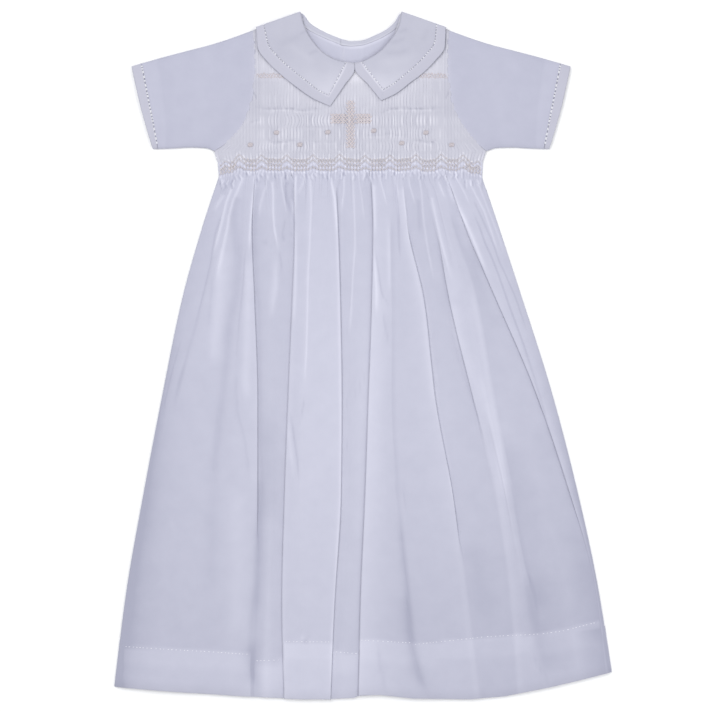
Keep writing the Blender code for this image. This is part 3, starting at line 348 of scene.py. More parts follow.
BORDER_BACK_END = np.array(((-27.5, 284.0, -17.5, 280.0), (-27.5, 306.2, -17.5, 302.8)))
COLLAR_HALVES = (
    ("left", COLLAR_LEFT, BORDER_LEFT_END, False), ("right", COLLAR_RIGHT, BORDER_RIGHT_END, True),
)

# Neck binding on the inside of the back: neck edge and lower edge
BINDING = np.array((
    (-57.0, 325.3, -62.5, 321.0), (-50.5, 318.2, -54.0, 313.4), (-37.0, 310.2, -39.0, 305.6),
    (-20.2, 303.3, -20.6, 298.0), (-11.5, 301.2, -11.5, 296.7), (-2.0, 301.7, -1.0, 297.8),
    (10.0, 306.2, 12.5, 302.4), (23.5, 313.2, 27.0, 310.4), (35.0, 324.7, 40.0, 321.0),
))

# Smocking
KNOTS = (
    (-83.0, 213.4), (-33.8, 213.8), (10.3, 215.2), (60.3, 213.4),
    (-108.2, 201.8), (-60.6, 201.8), (37.2, 203.3), (85.1, 201.8),
)
WAVE_PEAKS = (-132.5, -119.0, -97.5, -73.0, -48.0, -22.5, 2.0, 26.0, 51.0, 75.0, 96.0, 110.3)
# The waist band runs level between these places
BAND_SIDES = (-121.0, 97.0)
CROSS_X, CROSS_TOP, CROSS_FOOT, CROSS_BAR = -11.9, 243.8, 199.7, 227.0
SIDES = (("left", False), ("right", True))


# ---------------------------------------------------------------------------- small helpers
def linear(text):
    """A hex sRGB colour as linear RGBA."""
    parts = [int(text[i:i + 2], 16) / 255.0 for i in (1, 3, 5)]
    return tuple(c / 12.92 if c <= 0.04045 else ((c + 0.055) / 1.055) ** 2.4 for c in parts) + (1.0,)


def ease(value):
    """A smooth step from 0 to 1, held at both ends."""
    value = np.clip(value, 0.0, 1.0)
    return value * value * (3.0 - 2.0 * value)


def mix(a, b, share):
    return a + (b - a) * share


def hump(value, centre, width):
    """A soft hump of height 1 about a centre."""
    return np.exp(-(((value - centre) / width) ** 2))


def lengths_along(points):
    """Length of a line from its start to each of its points, in plan."""
    return np.concatenate(([0.0], np.cumsum(np.hypot(*np.diff(points[:, :2], axis=0).T))))


def smooth(keys, values, at):
    """Values on a smooth curve through the keys that doesn't overshoot, along the last axis."""
    keys, values, at = (np.asarray(given, float) for given in (keys, values, at))
    gap = np.diff(keys)
    slope = np.diff(values, axis=-1) / gap
    tilt = np.zeros_like(values)
    tilt[..., 0], tilt[..., -1] = slope[..., 0], slope[..., -1]
    before, after = slope[..., :-1], slope[..., 1:]
    same = before * after > 1e-12
    near, far = 2.0 * gap[1:] + gap[:-1], gap[1:] + 2.0 * gap[:-1]
    before, after = np.where(same, before, 1.0), np.where(same, after, 1.0)
    tilt[..., 1:-1] = np.where(same, (near + far) / (near / before + far / after), 0.0)
    i = np.clip(np.searchsorted(keys, at, side="right") - 1, 0, len(keys) - 2)
    t = np.clip((at - keys[i]) / gap[i], 0.0, 1.0)
    start, end = values[..., i], values[..., i + 1]
    lean, reach = tilt[..., i] * gap[i], tilt[..., i + 1] * gap[i]
    return (
        (1.0 + 2.0 * t) * (1.0 - t) ** 2 * start + t * (1.0 - t) ** 2 * lean
        + t * t * (3.0 - 2.0 * t) * end + t * t * (t - 1.0) * reach
    )


def by_length(line, shares):
    """Points at shares of the length of a line, on a smooth curve through its points."""
    line = np.asarray(line, float)
    lengths = lengths_along(line)
    at = np.asarray(shares) * lengths[-1]
    return np.stack([smooth(lengths, line[:, c], at) for c in range(line.shape[1])], axis=-1)


def waver(x, seed, pitch):
    """A smooth uneven curve of about -1 to 1 with humps about a pitch apart."""
    random = np.random.default_rng(seed)
    total = np.zeros_like(np.asarray(x, float))
    for _ in range(5):
        wave = pitch * random.uniform(0.6, 2.2)
        total = total + random.uniform(0.4, 1.0) * np.sin(TURN * x / wave + random.uniform(0, 6.28))
    return total / 2.2


def nearest_on(points, x, y):
    """Distance in plan from a line, on which side of it, and how far along it."""
    lengths = lengths_along(points)
    nearest, side, along = (np.full(np.shape(x), value) for value in (1e9, 0.0, 0.0))
    for a, b, before in zip(points, points[1:], lengths):
        run = b - a
        size = float(np.hypot(*run))
        held = np.clip(((x - a[0]) * run[0] + (y - a[1]) * run[1]) / size ** 2, 0.0, 1.0)
        away = np.hypot(x - a[0] - held * run[0], y - a[1] - held * run[1])
        closer = away < nearest
        nearest = np.where(closer, away, nearest)
        side = np.where(closer, (y - a[1]) * run[0] - (x - a[0]) * run[1], side)
        along = np.where(closer, before + held * size, along)
    return nearest, side, along


def crease(x, y, points, left, right):
    """A soft ridge of height 1 along a line, with its own width on each side."""
    points = np.asarray(points, float)
    nearest, side, along = nearest_on(points, x, y)
    length = lengths_along(points)[-1]
    fade = min(0.3 * length, 24.0)
    # a crease that comes out of the waist band starts at once
    at_band = 146.0 <= points[0, 1] <= 178.0
    ends = ease(along / (min(fade, 3.5) if at_band else fade)) * ease((length - along) / fade)
    return ends * hump(nearest, 0.0, np.where(side < 0.0, left, right))


def press(x, y, z, white, creases, fold=1.0):
    """Presses creases into rows of cloth, in shape and in tone: lighter with more layers and painted
    highlight on ridges, darker with fewer layers and painted shade in creases. Works in place.
    """
    low, high = y.min(axis=1), y.max(axis=1)
    for points, height, left, right, tone in creases:
        heights = [point[1] for point in points]
        reach = 3.0 * max(left, right)
        rows = np.flatnonzero((high > min(heights) - reach) & (low < max(heights) + reach))
        if len(rows):
            near = slice(rows[0], rows[-1] + 1)
            mark = crease(x[near], y[near], points, left, right)
            z[near] += fold * height * mark
            # painted shade or painted highlight along the crease, together with its layers
            white[near] += tone * mark


def waist_hooks():
    """Small hooked gathers just under the waist band, each a painted highlight on its rim beside a line of
    painted shade.
    """
    random = np.random.default_rng(23)
    hooks = []
    for x in np.arange(-136.0, 112.0, 4.2):
        x = x + random.uniform(-1.4, 1.4)
        top, run = 177.6 + random.uniform(-0.8, 0.6), random.uniform(5.0, 12.0)
        if abs(x - CENTRE) > 108.0:
            top = top - 8.0
        lean = random.choice((-1.0, 1.0)) * random.uniform(0.7, 2.6) + 0.02 * (x - CENTRE)
        points = np.array(((x, top), (x + 0.8 * lean, top - 0.45 * run), (x + 0.2 * lean, top - run)))
        # painted highlight on the rim, and painted shade beside it
        rim_highlight = random.uniform(12.0, 28.0)
        hooks.append((points, 0.5, 0.85, 0.85, rim_highlight))
        hooks.append((points + (1.5 * np.sign(lean), -0.8), -0.35, 0.8, 0.8, -0.65 * rim_highlight))
    return hooks


# ------------------------------------------------------------------------- shape of the cloth
def front_edges(height):
    """Left and right edge of the front at a height above the waist."""
    return np.interp(height, BODICE[:, 0], BODICE[:, 1]), np.interp(height, BODICE[:, 0], BODICE[:, 2])


def neck_distance(x, y):
    """Distance in plan from the back neck edge."""
    return nearest_on(BACK_NECK, x, y)[0]


def near_neck(x, y):
    """1 where the collar lies below or above, and 0 well clear of it."""
    return 1.0 - ease((neck_distance(x, y) - 60.0) / 18.0)


def back_low(x, y):
    """Underside of the back where one layer lies on the surface."""
    placket = (1.0 - ease((np.abs(x - CENTRE) - 11.0) / 9.0)) * ease((y - WAIST - 14.0) / 14.0)
    return np.maximum(1.55 * near_neck(x, y), 2.1 * placket)


def back_low_over(x, y):
    """Underside of the right back half, which lies on the left half at the placket."""
    return back_low(x, y) + 0.5 * (1.0 - ease((x - CENTRE - PLACKET_HALF - 6.0) / 10.0))


# ------------------------------------------------------------------------------- mesh makers
def own(piece, slot, *nodes):
    """Puts a piece on the root body and hides the CAD nodes it stands for; slot is not used."""
    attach(piece, "root")
    if nodes:
        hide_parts(*nodes)
    return piece


def cloth(name, place, thickness, material, white, slot, node):
    """A thin closed shell from rows of points, which stands for a CAD node.

    place holds x, y and z of the side that is seen. Rows run from neck to hem or along the
    piece, and columns from left to right. white is how light the cloth is, as a grey level: how
    many layers back it, with painted shade and painted highlight added.
    """
    grid = np.stack(np.broadcast_arrays(*place), axis=-1)
    index = np.arange(grid[..., 0].size).reshape(grid.shape[:2])
    corners = (index[:-1, :-1], index[1:, :-1], index[1:, 1:], index[:-1, 1:])
    mesh = bpy.data.meshes.new(name)
    faces = np.stack(corners, axis=-1).reshape(-1, 4)
    mesh.from_pydata((grid.reshape(-1, 3) * MM).tolist(), [], faces.tolist())
    shade = mesh.attributes.new("white", "FLOAT", "POINT")
    level = (np.broadcast_to(white, index.shape).reshape(-1) - DARKEST) / (LIGHTEST - DARKEST)
    shade.data.foreach_set("value", level.astype(np.float32))
    mesh.materials.append(material)
    mesh.shade_smooth()
    piece = bpy.data.objects.new(name, mesh)
    bpy.context.scene.collection.objects.link(piece)
    wall = piece.modifiers.new("cloth thickness", "SOLIDIFY")
    wall.thickness = thickness * MM
    wall.offset = -1.0
    return own(piece, slot, node)


def stitches(name, paths, radius, material, slot="batiste", sides=1):
    """Thread as one object: each path is a stitch that tapers into the cloth at both ends."""
    curve = bpy.data.curves.new(name, "CURVE")
    curve.dimensions = "3D"
    curve.bevel_depth = radius * MM
    curve.bevel_resolution = sides
    curve.use_fill_caps = True
    for path in paths:
        spline = curve.splines.new("POLY")
        spline.points.add(len(path) - 1)
        for point, place in zip(spline.points, path):
            point.co = (*(value * MM for value in place), 1.0)
        for end in (0, -1):
            spline.points[end].radius = 0.7
    curve.materials.append(material)
    piece = bpy.data.objects.new(name, curve)
    bpy.context.scene.collection.objects.link(piece)
    own(piece, slot)


def surface_of(*pieces):
    """A function that gives the top of the pieces at a point of the plan."""
    graph = bpy.context.evaluated_depsgraph_get()
    trees = [BVHTree.FromObject(piece, graph) for piece in pieces]

    def top(x, y, fallback=5.0):
        found = []
        for tree in trees:
            hit = tree.ray_cast(Vector((x * MM, y * MM, 0.1)), Vector((0.0, 0.0, -1.0)))
            if hit[0] is not None:
                found.append(hit[0].z / MM)
        return max(found) if found else fallback

    return top


# --------------------------------------------------------------------------------- materials
def add_node(tree, kind, settings=None, **links):
    """Adds a node, sets its values, and links sockets to its inputs by name."""
    node = tree.nodes.new("ShaderNode" + kind)
    for key, value in (settings or {}).items():
        if key in node.inputs.keys():
            node.inputs[key].default_value = value
        else:
            setattr(node, key, value)
    for key, socket in links.items():
        tree.links.new(socket, node.inputs[int(key[1:])] if key[1:].isdigit() else node.inputs[key])
    return node


def new_material(name, surface):
    """A material with its constants on the shader, and its coordinates on the piece."""
    material = bpy.data.materials.new(name)
    material.use_nodes = True
    tree = material.node_tree
    shader = tree.nodes["Principled BSDF"]
    for socket, value in surface.items():
        shader.inputs[socket].default_value = value
    return material, tree, shader, add_node(tree, "TexCoord").outputs["Object"]


def paint(tree, shader, low, high, settings=None, **links):
    """Colours the shader by mixing two colours."""
    colour = add_node(tree, "Mix", {"data_type": "RGBA", **(settings or {})}, **links)
    for socket, value in ((6, low), (7, high)):
        if isinstance(value, bpy.types.NodeSocket):
            tree.links.new(value, colour.inputs[socket])
        else:
            colour.inputs[socket].default_value = value
    tree.links.new(colour.outputs[2], shader.inputs["Base Color"])
    return colour


def emboss(tree, shader, height, strength, distance):
    """Raises a fine relief on the shader."""
    bump = add_node(tree, "Bump", {"Strength": strength, "Distance": distance}, Height=height)
    tree.links.new(bump.outputs["Normal"], shader.inputs["Normal"])


def woven_cotton(name, thin, full, pitch, mottling):
    """Fine plain-woven cotton: matt, with a soft sheen and a faint thread grain.

    Where more layers lie on each other less of the ground shows through, so the cloth goes
    from the thin colour to the full one with the number of layers. The same share also carries
    painted shade and painted highlight.
    """
    material, tree, shader, place = new_material(name, {
        "Roughness": 0.88, "Specular IOR Level": 0.25, "Sheen Weight": 0.12, "Sheen Roughness": 0.5})
    # the white attribute: layers of cloth, with painted shade and painted highlight added
    layers = add_node(tree, "Attribute", {"attribute_name": "white"}).outputs["Fac"]
    # Slubs and uneven beating of the weft, 8 to 20 mm long
    cloud = add_node(tree, "TexNoise", {"Scale": 70.0, "Detail": 3.0, "Roughness": 0.55}, Vector=place)
    patchy = add_node(tree, "MapRange", {"From Min": 0.25, "From Max": 0.75, "To Min": -mottling,
                                         "To Max": mottling}, Value=cloud.outputs["Fac"])
    share = add_node(tree, "Math", {"operation": "ADD", "use_clamp": True}, _0=layers,
                     _1=patchy.outputs["Result"])
    paint(tree, shader, thin, full, _0=share.outputs[0])
    # Warp and weft lie about 0.25 mm apart, drawn coarser so that they show
    wave = {"Scale": 0.314 / pitch, "Distortion": 1.2, "Detail": 2.0, "Detail Scale": 1.5}
    weft, warp = (add_node(tree, "TexWave", {"bands_direction": way, **wave}, Vector=place) for way in "YX")
    grain = add_node(tree, "Math", {"operation": "ADD"}, _0=weft.outputs["Fac"], _1=warp.outputs["Fac"])
    emboss(tree, shader, grain.outputs[0], 0.25, 0.00012)
    return material


def stranded_cotton(name, colour, strand):
    """Mercerised embroidery cotton: a soft gloss along two loosely twisted strands."""
    material, tree, shader, place = new_material(name, {"Roughness": 0.6, "Sheen Weight": 0.1})
    # The strands twist once in about 2 mm
    twist = add_node(tree, "TexWave", {"bands_direction": "DIAGONAL", "Scale": 0.314 / strand,
                                       "Distortion": 2.0}, Vector=place)
    # painted shade in the grooves between the twisted strands darkens the colour in bands
    shade = add_node(tree, "MapRange", {"To Min": 0.88, "To Max": 1.0}, Value=twist.outputs["Fac"])
    mixed = paint(tree, shader, colour, shade.outputs["Result"], {"blend_type": "MULTIPLY"})
    mixed.inputs[0].default_value = 1.0
    emboss(tree, shader, twist.outputs["Fac"], 0.3, 0.0002)
    return material


def trochus_shell(name, colour):
    """Polished trochus shell: smooth and glossy, with faint grown bands and a pearly coat."""
    material, tree, shader, place = new_material(name, {"Roughness": 0.28, "Coat Weight": 0.4})
    bands = add_node(tree, "TexWave", {"Scale": 220.0, "Distortion": 6.0, "Detail": 2.0}, Vector=place)
    paint(tree, shader, colour, linear("#F2EEE6"), _0=bands.outputs["Fac"])
    return material


def seamless_paper(name, colour):
    """Matt white background paper with a very faint grain."""
    material, tree, shader, place = new_material(name, {
        "Base Color": colour, "Roughness": 0.95, "Specular IOR Level": 0.1})
    fibres = add_node(tree, "TexNoise", {"Scale": 900.0, "Detail": 2.0}, Vector=place)
    emboss(tree, shader, fibres.outputs["Fac"], 0.05, 0.0001)
    return material


def kept(name, maker, *values):
    """The material of this name, made on its first use."""
    return bpy.data.materials.get(name) or maker(name, *values)


# The cottons of the gown: tint of both cloth colours, thread pitch in metres and mottling. Light
# that passes several layers comes back warmer.
COTTONS = {
    "gown_cotton": ((1.0, 1.0, 1.0, 1.0), 0.001, 0.035),
    "smocked_cotton": ((1.01, 1.0, 0.955, 1.0), 0.001, 0.035),
    "collar_cotton": ((1.0, 0.995, 0.965, 1.0), 0.0009, 0.03),
    "doubled_cotton": ((1.0, 0.99, 0.96, 1.0), 0.0009, 0.02),
    "bias_strip_cotton": ((1.0, 1.0, 0.97, 1.0), 0.0008, 0.02),
}


def cotton(colours, name="gown_cotton"):
    tint, pitch, mottling = COTTONS[name]
    thin, full = (tuple(c * t for c, t in zip(value, tint))
                  for value in (colours.thin_cloth, colours.full_cloth))
    return kept(name, woven_cotton, thin, full, pitch, mottling)


def ecru_cotton(colours):
    return kept("ecru_stranded_cotton", stranded_cotton, tuple(colours.ecru_thread), 0.002)


def grey_cotton(colours):
    return kept("grey_stranded_cotton", stranded_cotton, tuple(colours.grey_thread), 0.002)


def knot_cotton(colours):
    # the knots are the ecru and grey threads, painted darker for the shade between their wraps
    both = [0.44 * (a + b) * c
            for a, b, c in zip(colours.ecru_thread, colours.grey_thread, (1.0, 1.0, 1.03, 1.0))]
    return kept("twisted_knot_cotton", stranded_cotton, both, 0.0015)


def sewing_cotton(colours):
    return kept("white_sewing_cotton", stranded_cotton, tuple(colours.white_thread), 0.001)


# -------------------------------------------------------------------------- settings of users
def size(title, text, usual, low, high, **kind):
    return bpy.props.FloatProperty(name=title, description=text, default=usual, min=low, max=high, **kind)


def tint(title, text, usual):
    return bpy.props.FloatVectorProperty(name=title, description=text, default=linear(usual), size=4,
                                         subtype="COLOR", min=0.0, max=1.0)


class GownSizes(bpy.types.PropertyGroup):
    cloth: size("Cloth thickness", "Thickness of one layer of cloth, in millimetres", 0.4, 0.1, 1.0)
    pleat: size("Smocked pleat height", "Height of the pleats of the chest, in millimetres", 2.0, 0.5, 3.0)
    fold: size("Fold height", "Height of the folds of the skirt against the usual one", 1.0, 0.3, 2.0,
               subtype="FACTOR")
    thread: size("Thread radius", "Radius of the embroidery cotton, in millimetres", 0.42, 0.2, 0.8)
    camera_height: size("Camera height", "Height of the camera above the surface", 2.2, 1.0, 5.0,
                        unit="LENGTH")


class GownColours(bpy.types.PropertyGroup):
    thin_cloth: tint("Single cloth", "Colour of the cloth where one layer lies alone", "#A5A6B8")
    full_cloth: tint("Layered cloth", "Colour of the cloth where several layers lie together", "#DDDDEB")
    ecru_thread: tint("Ecru thread", "Colour of the cross, the knots and the upper smocking rows", "#DCD2D3")
    grey_thread: tint("Grey thread", "Colour of the cable and wave rows at the waist", "#D2CCCF")
    white_thread: tint("White thread", "Colour of the hemstitching and the seams", "#F0F0F6")
    shell: tint("Button shell", "Colour of the buttons", "#DCD6CA")
    surface: tint("Surface", "Colour of the surface that the gown lies on", "#FAFAFA")


# ------------------------------------------------------------------------------ the operators
# Places across one pleat, from valley to valley: the tops are broad and the valleys narrow
CHEST_PLACES = np.array((0.0, 0.002, 0.010, 0.22, 0.5, 0.78, 0.99, 0.998))
SKIRT_PLACES = np.array((0.0, 0.002, 0.3, 0.7, 0.998))


def pleat_profile(place):
    """Height of a pleat from 0 in its valley to 1 on its rounded top."""
    return np.interp(np.abs(place - 0.5), (0.0, 0.28, 0.49, 0.498, 0.5), (1.0, 0.98, 0.94, 0.925, 0.0))


def valley_painted_light(place):
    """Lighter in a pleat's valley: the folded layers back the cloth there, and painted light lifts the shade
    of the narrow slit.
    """
    return np.interp(np.abs(place - 0.5), (0.0, 0.45, 0.49, 0.498, 0.5), (0.0, 0.0, 6.0, 18.0, 40.0))


def pleat_columns(places):
    """Position of each column in pleats from the left edge, and its place in its pleat."""
    at = np.concatenate([k + places for k in range(PLEATS)] + [[float(PLEATS)]])
    return at, at - np.floor(at)


def split_x(at):
    left, right = front_edges(SPLIT)
    return mix(left, right, at / PLEATS)


def pleat_height(sizes, pleat, y):
    """Height of each pleat, uneven from one to the next."""
    uneven = (1.0 + 0.12 * waver(pleat * 1.7, 5, 2.1)) * (1.0 + 0.06 * waver(y * 0.6 + pleat * 3.0, 6, 11.0))
    pulled = 0.45 * np.exp(-(((y - 182.0) / 6.0) ** 4)) + 0.3 * ease((y - 236.0) / 10.0)
    return sizes.pleat * uneven * (1.0 - pulled)


def chest_tone(x, y):
    """How many layers back the smocked cloth, as a grey level, with more under the collar."""
    white = 208.0 + ease((y - 238.0) / 8.0) + 9.0 * hump(x, CENTRE, 30.0) * hump(y, 268.0, 26.0)
    return white + 1.2 * waver(x, 8, 30.0)


def band_lines(x):
    """Heights of the three thread lines of the waist band at places across."""
    x = np.asarray(x, float)
    near = np.min(np.abs(x[..., None] - np.array(WAVE_PEAKS)), axis=-1)
    crest = np.clip(1.0 - near / 6.0, 0.0, 1.0)
    # towards the side seams the band runs down
    drop = 6.4 * ease((BAND_SIDES[0] + 2.0 - x) / 16.0) + 6.6 * ease((x - BAND_SIDES[1]) / 14.0)
    wobble = 0.9 * waver(x, 17, 44.0)
    return (
        186.2 + 6.0 * crest - 0.9 * drop + wobble, 181.8 + 6.2 * crest - 0.8 * drop + wobble,
        177.9 + 2.6 * crest - 0.7 * drop + 0.8 * wobble,
    ), crest


def puffs(at, place, x, y):
    """Tops of the pleats that swell out between the thread lines of the waist band."""
    upper, middle, lower = band_lines(x)[0]
    pleat = np.floor(at).astype(int)
    total = np.zeros(np.broadcast(x, y).shape)
    rows = ((upper - 2.0, 0, 1.0), (mix(middle, lower, 0.5), 1, 0.9), (lower - 2.6, 0, 1.0),
            (upper + 2.4, 1, 0.6))
    for number, (line, turn, size) in enumerate(rows):
        swell = np.random.default_rng(70 + number).uniform(0.35, 1.0, PLEATS + 1)
        swell = swell * np.where((np.arange(PLEATS + 1) + turn) % 2, 1.0, 0.7)
        total = np.maximum(total, swell[pleat] * hump(y, line, size))
    return total * np.sin(math.pi * place)


# Lines across the chest that hold the pleats, how far the pleats bow between them, and how much painted
# highlight their tops get there, which also sets how loose they are
HELD_ROWS = np.array((185.0, 194.5, 205.5, 218.8, 231.0, 236.8, 252.0, 265.5, 272.0, 290.0, 340.0))
BOW = (0.5, 1.1, 1.3, 1.8, 0.6, 0.9, 0.7, 0.4, 0.3, 0.3)
STROKE = (20.0, 24.0, 24.0, 36.0, 9.0, 14.0, 10.0, 9.0, 8.0, 7.0)
# Creases across the chest, which the holding threads pull in, with painted shade in each and a painted
# highlight just below it
PULLS = (
    (((-108.5, 237.1), (-98.9, 237.5), (-89.3, 236.0), (-80.6, 237.1), (-70.1, 236.5), (-60.5, 235.0),
      (-50.9, 235.6), (-39.4, 236.2), (-31.7, 236.5)), 1.1),
    (((10.6, 234.2), (19.0, 232.6), (25.9, 236.2), (37.4, 237.3), (50.9, 236.3), (70.1, 237.3),
      (83.5, 237.5)), 1.1),
    (((-110.0, 222.5), (-104.0, 225.0), (-96.0, 226.5)), 0.5),
    (((-95.0, 209.3), (-90.0, 205.5), (-85.4, 203.5), (-74.0, 205.0), (-62.4, 206.4)), 0.9),
    (((45.1, 206.4), (56.6, 205.4), (64.3, 203.5), (69.0, 205.5), (73.9, 209.3)), 0.9),
    (((-62.0, 219.6), (-48.0, 218.6), (-30.0, 219.4)), 0.4),
    (((-4.8, 211.2), (12.0, 211.0), (25.9, 212.2), (38.0, 210.4), (47.0, 209.3)), 0.6),
    (((-52.0, 204.0), (-36.0, 205.2), (-22.0, 204.2)), 0.4),
    (((-106.8, 254.0), (-103.2, 248.5), (-102.0, 244.0)), 0.7),
    (((84.0, 254.0), (80.4, 248.5), (79.2, 244.0)), 0.7),
)


def pleat_bow(pleat, y):
    """How far the pleats of the chest bow sideways between the lines that hold them, how much
    painted highlight or shade their tops get there, and how loose they are."""
    number = np.floor(pleat).astype(int)
    bow = np.zeros(np.broadcast(pleat, y).shape)
    stroke, loose = np.zeros_like(bow), np.zeros_like(bow)
    for k, (low, high) in enumerate(zip(HELD_ROWS, HELD_ROWS[1:])):
        arch = np.sin(math.pi * np.clip((y - low) / (high - low), 0.0, 1.0))
        bow += BOW[k] * (waver(pleat, 40 + k, 13.0) + 0.3 * waver(pleat, 140 + k, 3.0)) * arch
        stroke += STROKE[k] * np.random.default_rng(240 + k).uniform(-0.35, 1.1, PLEATS + 1)[number] * arch
        loose += STROKE[k] / 30.0 * arch
    return bow, stroke, loose


# Between these places the pleats of the chest run straight up, and beside them they lean in
INNER_LEFT, INNER_RIGHT = -99.0, 77.0


def squeezed(base, left, right):
    """Places across drawn in to both edges, and how much the pleats are squeezed at each."""
    near = (left - INNER_LEFT) / (base[0] - INNER_LEFT)
    far = (right - INNER_RIGHT) / (base[-1] - INNER_RIGHT)
    x = np.where(base > INNER_RIGHT, INNER_RIGHT + (base - INNER_RIGHT) * far, base)
    return np.where(base < INNER_LEFT, INNER_LEFT + (base - INNER_LEFT) * near, x), near, far


class GOWN_OT_front_chest(bpy.types.Operator):
    """Builds the smocked chest, pleat by pleat"""

    bl_idname = "gown.front_chest"
    bl_label = "Smocked chest"

    def execute(self, context):
        sizes, colours = context.scene.gown_sizes, context.scene.gown_colours
        at, place = pleat_columns(CHEST_PLACES)
        pleat = np.floor(at)
        dome = np.sin(math.pi * place)
        base = split_x(at)
        outline = np.concatenate([[(-104.5, SHOULDER)], FRONT_NECK, [(81.5, SHOULDER)]])
        top_y = np.interp(squeezed(base, *front_edges(SHOULDER))[0], outline[:, 0], outline[:, 1])
        levels = np.concatenate([
            SPLIT + np.array((-1.2, -0.15, 0.0, 0.05)), np.arange(SPLIT + 0.75, 194.4, 0.75),
            np.arange(194.8, 261.0, 1.6), [262.0],
        ])
        rows = [np.full(len(at), level) for level in levels]
        rows += [mix(262.0, top_y, share) for share in np.linspace(0.0, 1.0, 15)[1:]]
        y = np.array(rows)[::-1]
        left, right = front_edges(y)
        x, near, far = squeezed(base, left, right)
        strength = mix(ease((near - 0.8) / 0.18), 1.0, ease((base - INNER_LEFT) / 16.0))
        strength = strength * mix(ease((far - 0.8) / 0.18), 1.0, ease((INNER_RIGHT - base) / 16.0))
        # the pleats fade towards the armholes and under the collar
        inside = ease((base + 110.0) / 18.0) * ease((88.0 - base) / 18.0)
        faint = mix(0.35, 1.0, np.maximum(inside, ease((200.0 - y) / 14.0)))
        faint = faint * (1.0 - 0.75 * hump(base, CENTRE + 2.0, 13.0) * ease((y - 242.0) / 14.0))
        # the whole pleat leans together
        bow, stroke, loose = pleat_bow(at, y)
        x = x + (bow + 0.35 * waver(at, 19, 2.7) * ease((y - 186.0) / 4.0)) * strength * faint
        height = pleat_height(sizes, pleat, y) * strength * faint
        across = np.clip((x - 0.5 * (left + right)) / (0.5 * (right - left)), -1.0, 1.0)
        edge = mix(1.6, 3.6, ease((y - UNDERARM) / 10.0))
        z = edge + (4.0 - edge) * (1.0 - np.abs(across) ** 8) + height * pleat_profile(place)
        z += 0.0125 * stroke * dome * strength
        uneven = 0.6 + 0.8 * waver(pleat * 1.7 + 0.02 * y, 18, 2.6) + 0.3 * waver(y + pleat * 7.0, 20, 14.0)
        # painted highlight on the pleat tops where they bow; painted light in the valleys lifts the shade of
        # the narrow slits, and painted shade darkens each pleat towards its valley
        white = chest_tone(x, y) + stroke * dome ** 3 * faint
        white += (valley_painted_light(place) * (uneven - 0.7 * loose) - 2.0 * (1.0 - dome ** 2)) * strength * faint
        white -= 3.0 * (1.0 - inside) * ease((y - 190.0) / 10.0)
        white += 26.0 * ease((y - 258.0) / 10.0) * (np.abs(x + 8.0) < 9.0)
        # painted shade in each pulled crease, and a painted highlight 2 mm below it towards the hem
        for points, depth in PULLS:
            broken = 0.65 + 0.5 * waver(at, 29, 1.9)
            mark = depth * crease(x, y, points[::-1], 0.9, 0.9) * broken
            z -= mark
            white -= 16.0 * mark
            white += 14.0 * depth * crease(x, y + 2.0, points[::-1], 1.1, 1.1) * (1.2 - broken)
        # painted shadow of the collar's edge: a thin dark line on the pleats, with a wider band about it
        # made lighter
        for outer in (COLLAR_LEFT, COLLAR_RIGHT):
            edge_line = outer[:, 4:6]
            white -= 22.0 * crease(x, y, edge_line, 1.1, 1.1) - 6.0 * crease(x, y, edge_line, 9.0, 9.0)
        # the seams cut off the pleats at the sides, which keep their own direction
        thin = ((base < INNER_LEFT) | (base > INNER_RIGHT)) * (1.0 - strength)
        here = x / (base[-1] - base[0]) * PLEATS
        ribs = 0.5 - 0.5 * np.cos(TURN * here)
        z += 0.4 * thin * ribs
        # painted highlight on the rib tops and painted shade in their valleys
        white += 8.0 * thin * (ribs - 0.5) * (1.0 + 0.6 * waver(np.floor(here), 61, 2.2))
        aside = np.abs(x - CENTRE)
        white -= 4.0 * ease((aside - 72.0) / 10.0) * ease((y - 224.0) / 10.0)
        white += 8.0 * ease((y - 262.0) / 6.0) * (aside > 40.0)
        swell = puffs(at, place, x, y)
        # painted highlight on the puffs of the waist band
        white += PUFF_HIGHLIGHT * swell
        z += 0.6 * swell - 0.35 * ease((195.0 - y) / 2.0) - 0.45 * (y < SPLIT - 0.1)
        at_shoulder = ease((y - (top_y - 5.0)) / 5.0) * ease((np.abs(base - CENTRE) - 44.0) / 6.0)
        z = mix(z, 3.2, at_shoulder)
        # the seam allowance slips under the sleeve
        for column, way in ((0, -1.2), (-1, 1.2)):
            x[:, column] += way * (y[:, column] > UNDERARM + 1.0)
        piece = cloth("front_chest", (x, y, z), sizes.cloth, cotton(colours, "smocked_cotton"), white,
                      "batiste", "front")
        return {"FINISHED"}


# Steps of a knife fold from its open edge to its foot: columns, place when folded in shares of
# the tuck's depth and in millimetres, place when not folded, height, and how light it is, from
# its layers and from painted shade towards the foot
FOLD_STEPS = (
    (-6.0, 0.0, -6.0, -6.0, 0.92, 0.6), (-1.5, 0.0, -1.1, -1.6, 1.0, 1.0), (0.0, 0.0, 0.0, 0.0, 0.72, 1.0),
    (1.2, 0.0, -1.1, 1.0, 0.5, 0.8), (4.0, -1.0, 1.0, 2.2, 0.42, 0.4), (5.2, -1.0, 0.0, 2.8, 0.2, 0.2),
    (6.4, -1.0, 1.0, 3.4, 0.02, 0.1), (10.0, 0.0, 2.0, 6.5, 0.0, 0.0),
)


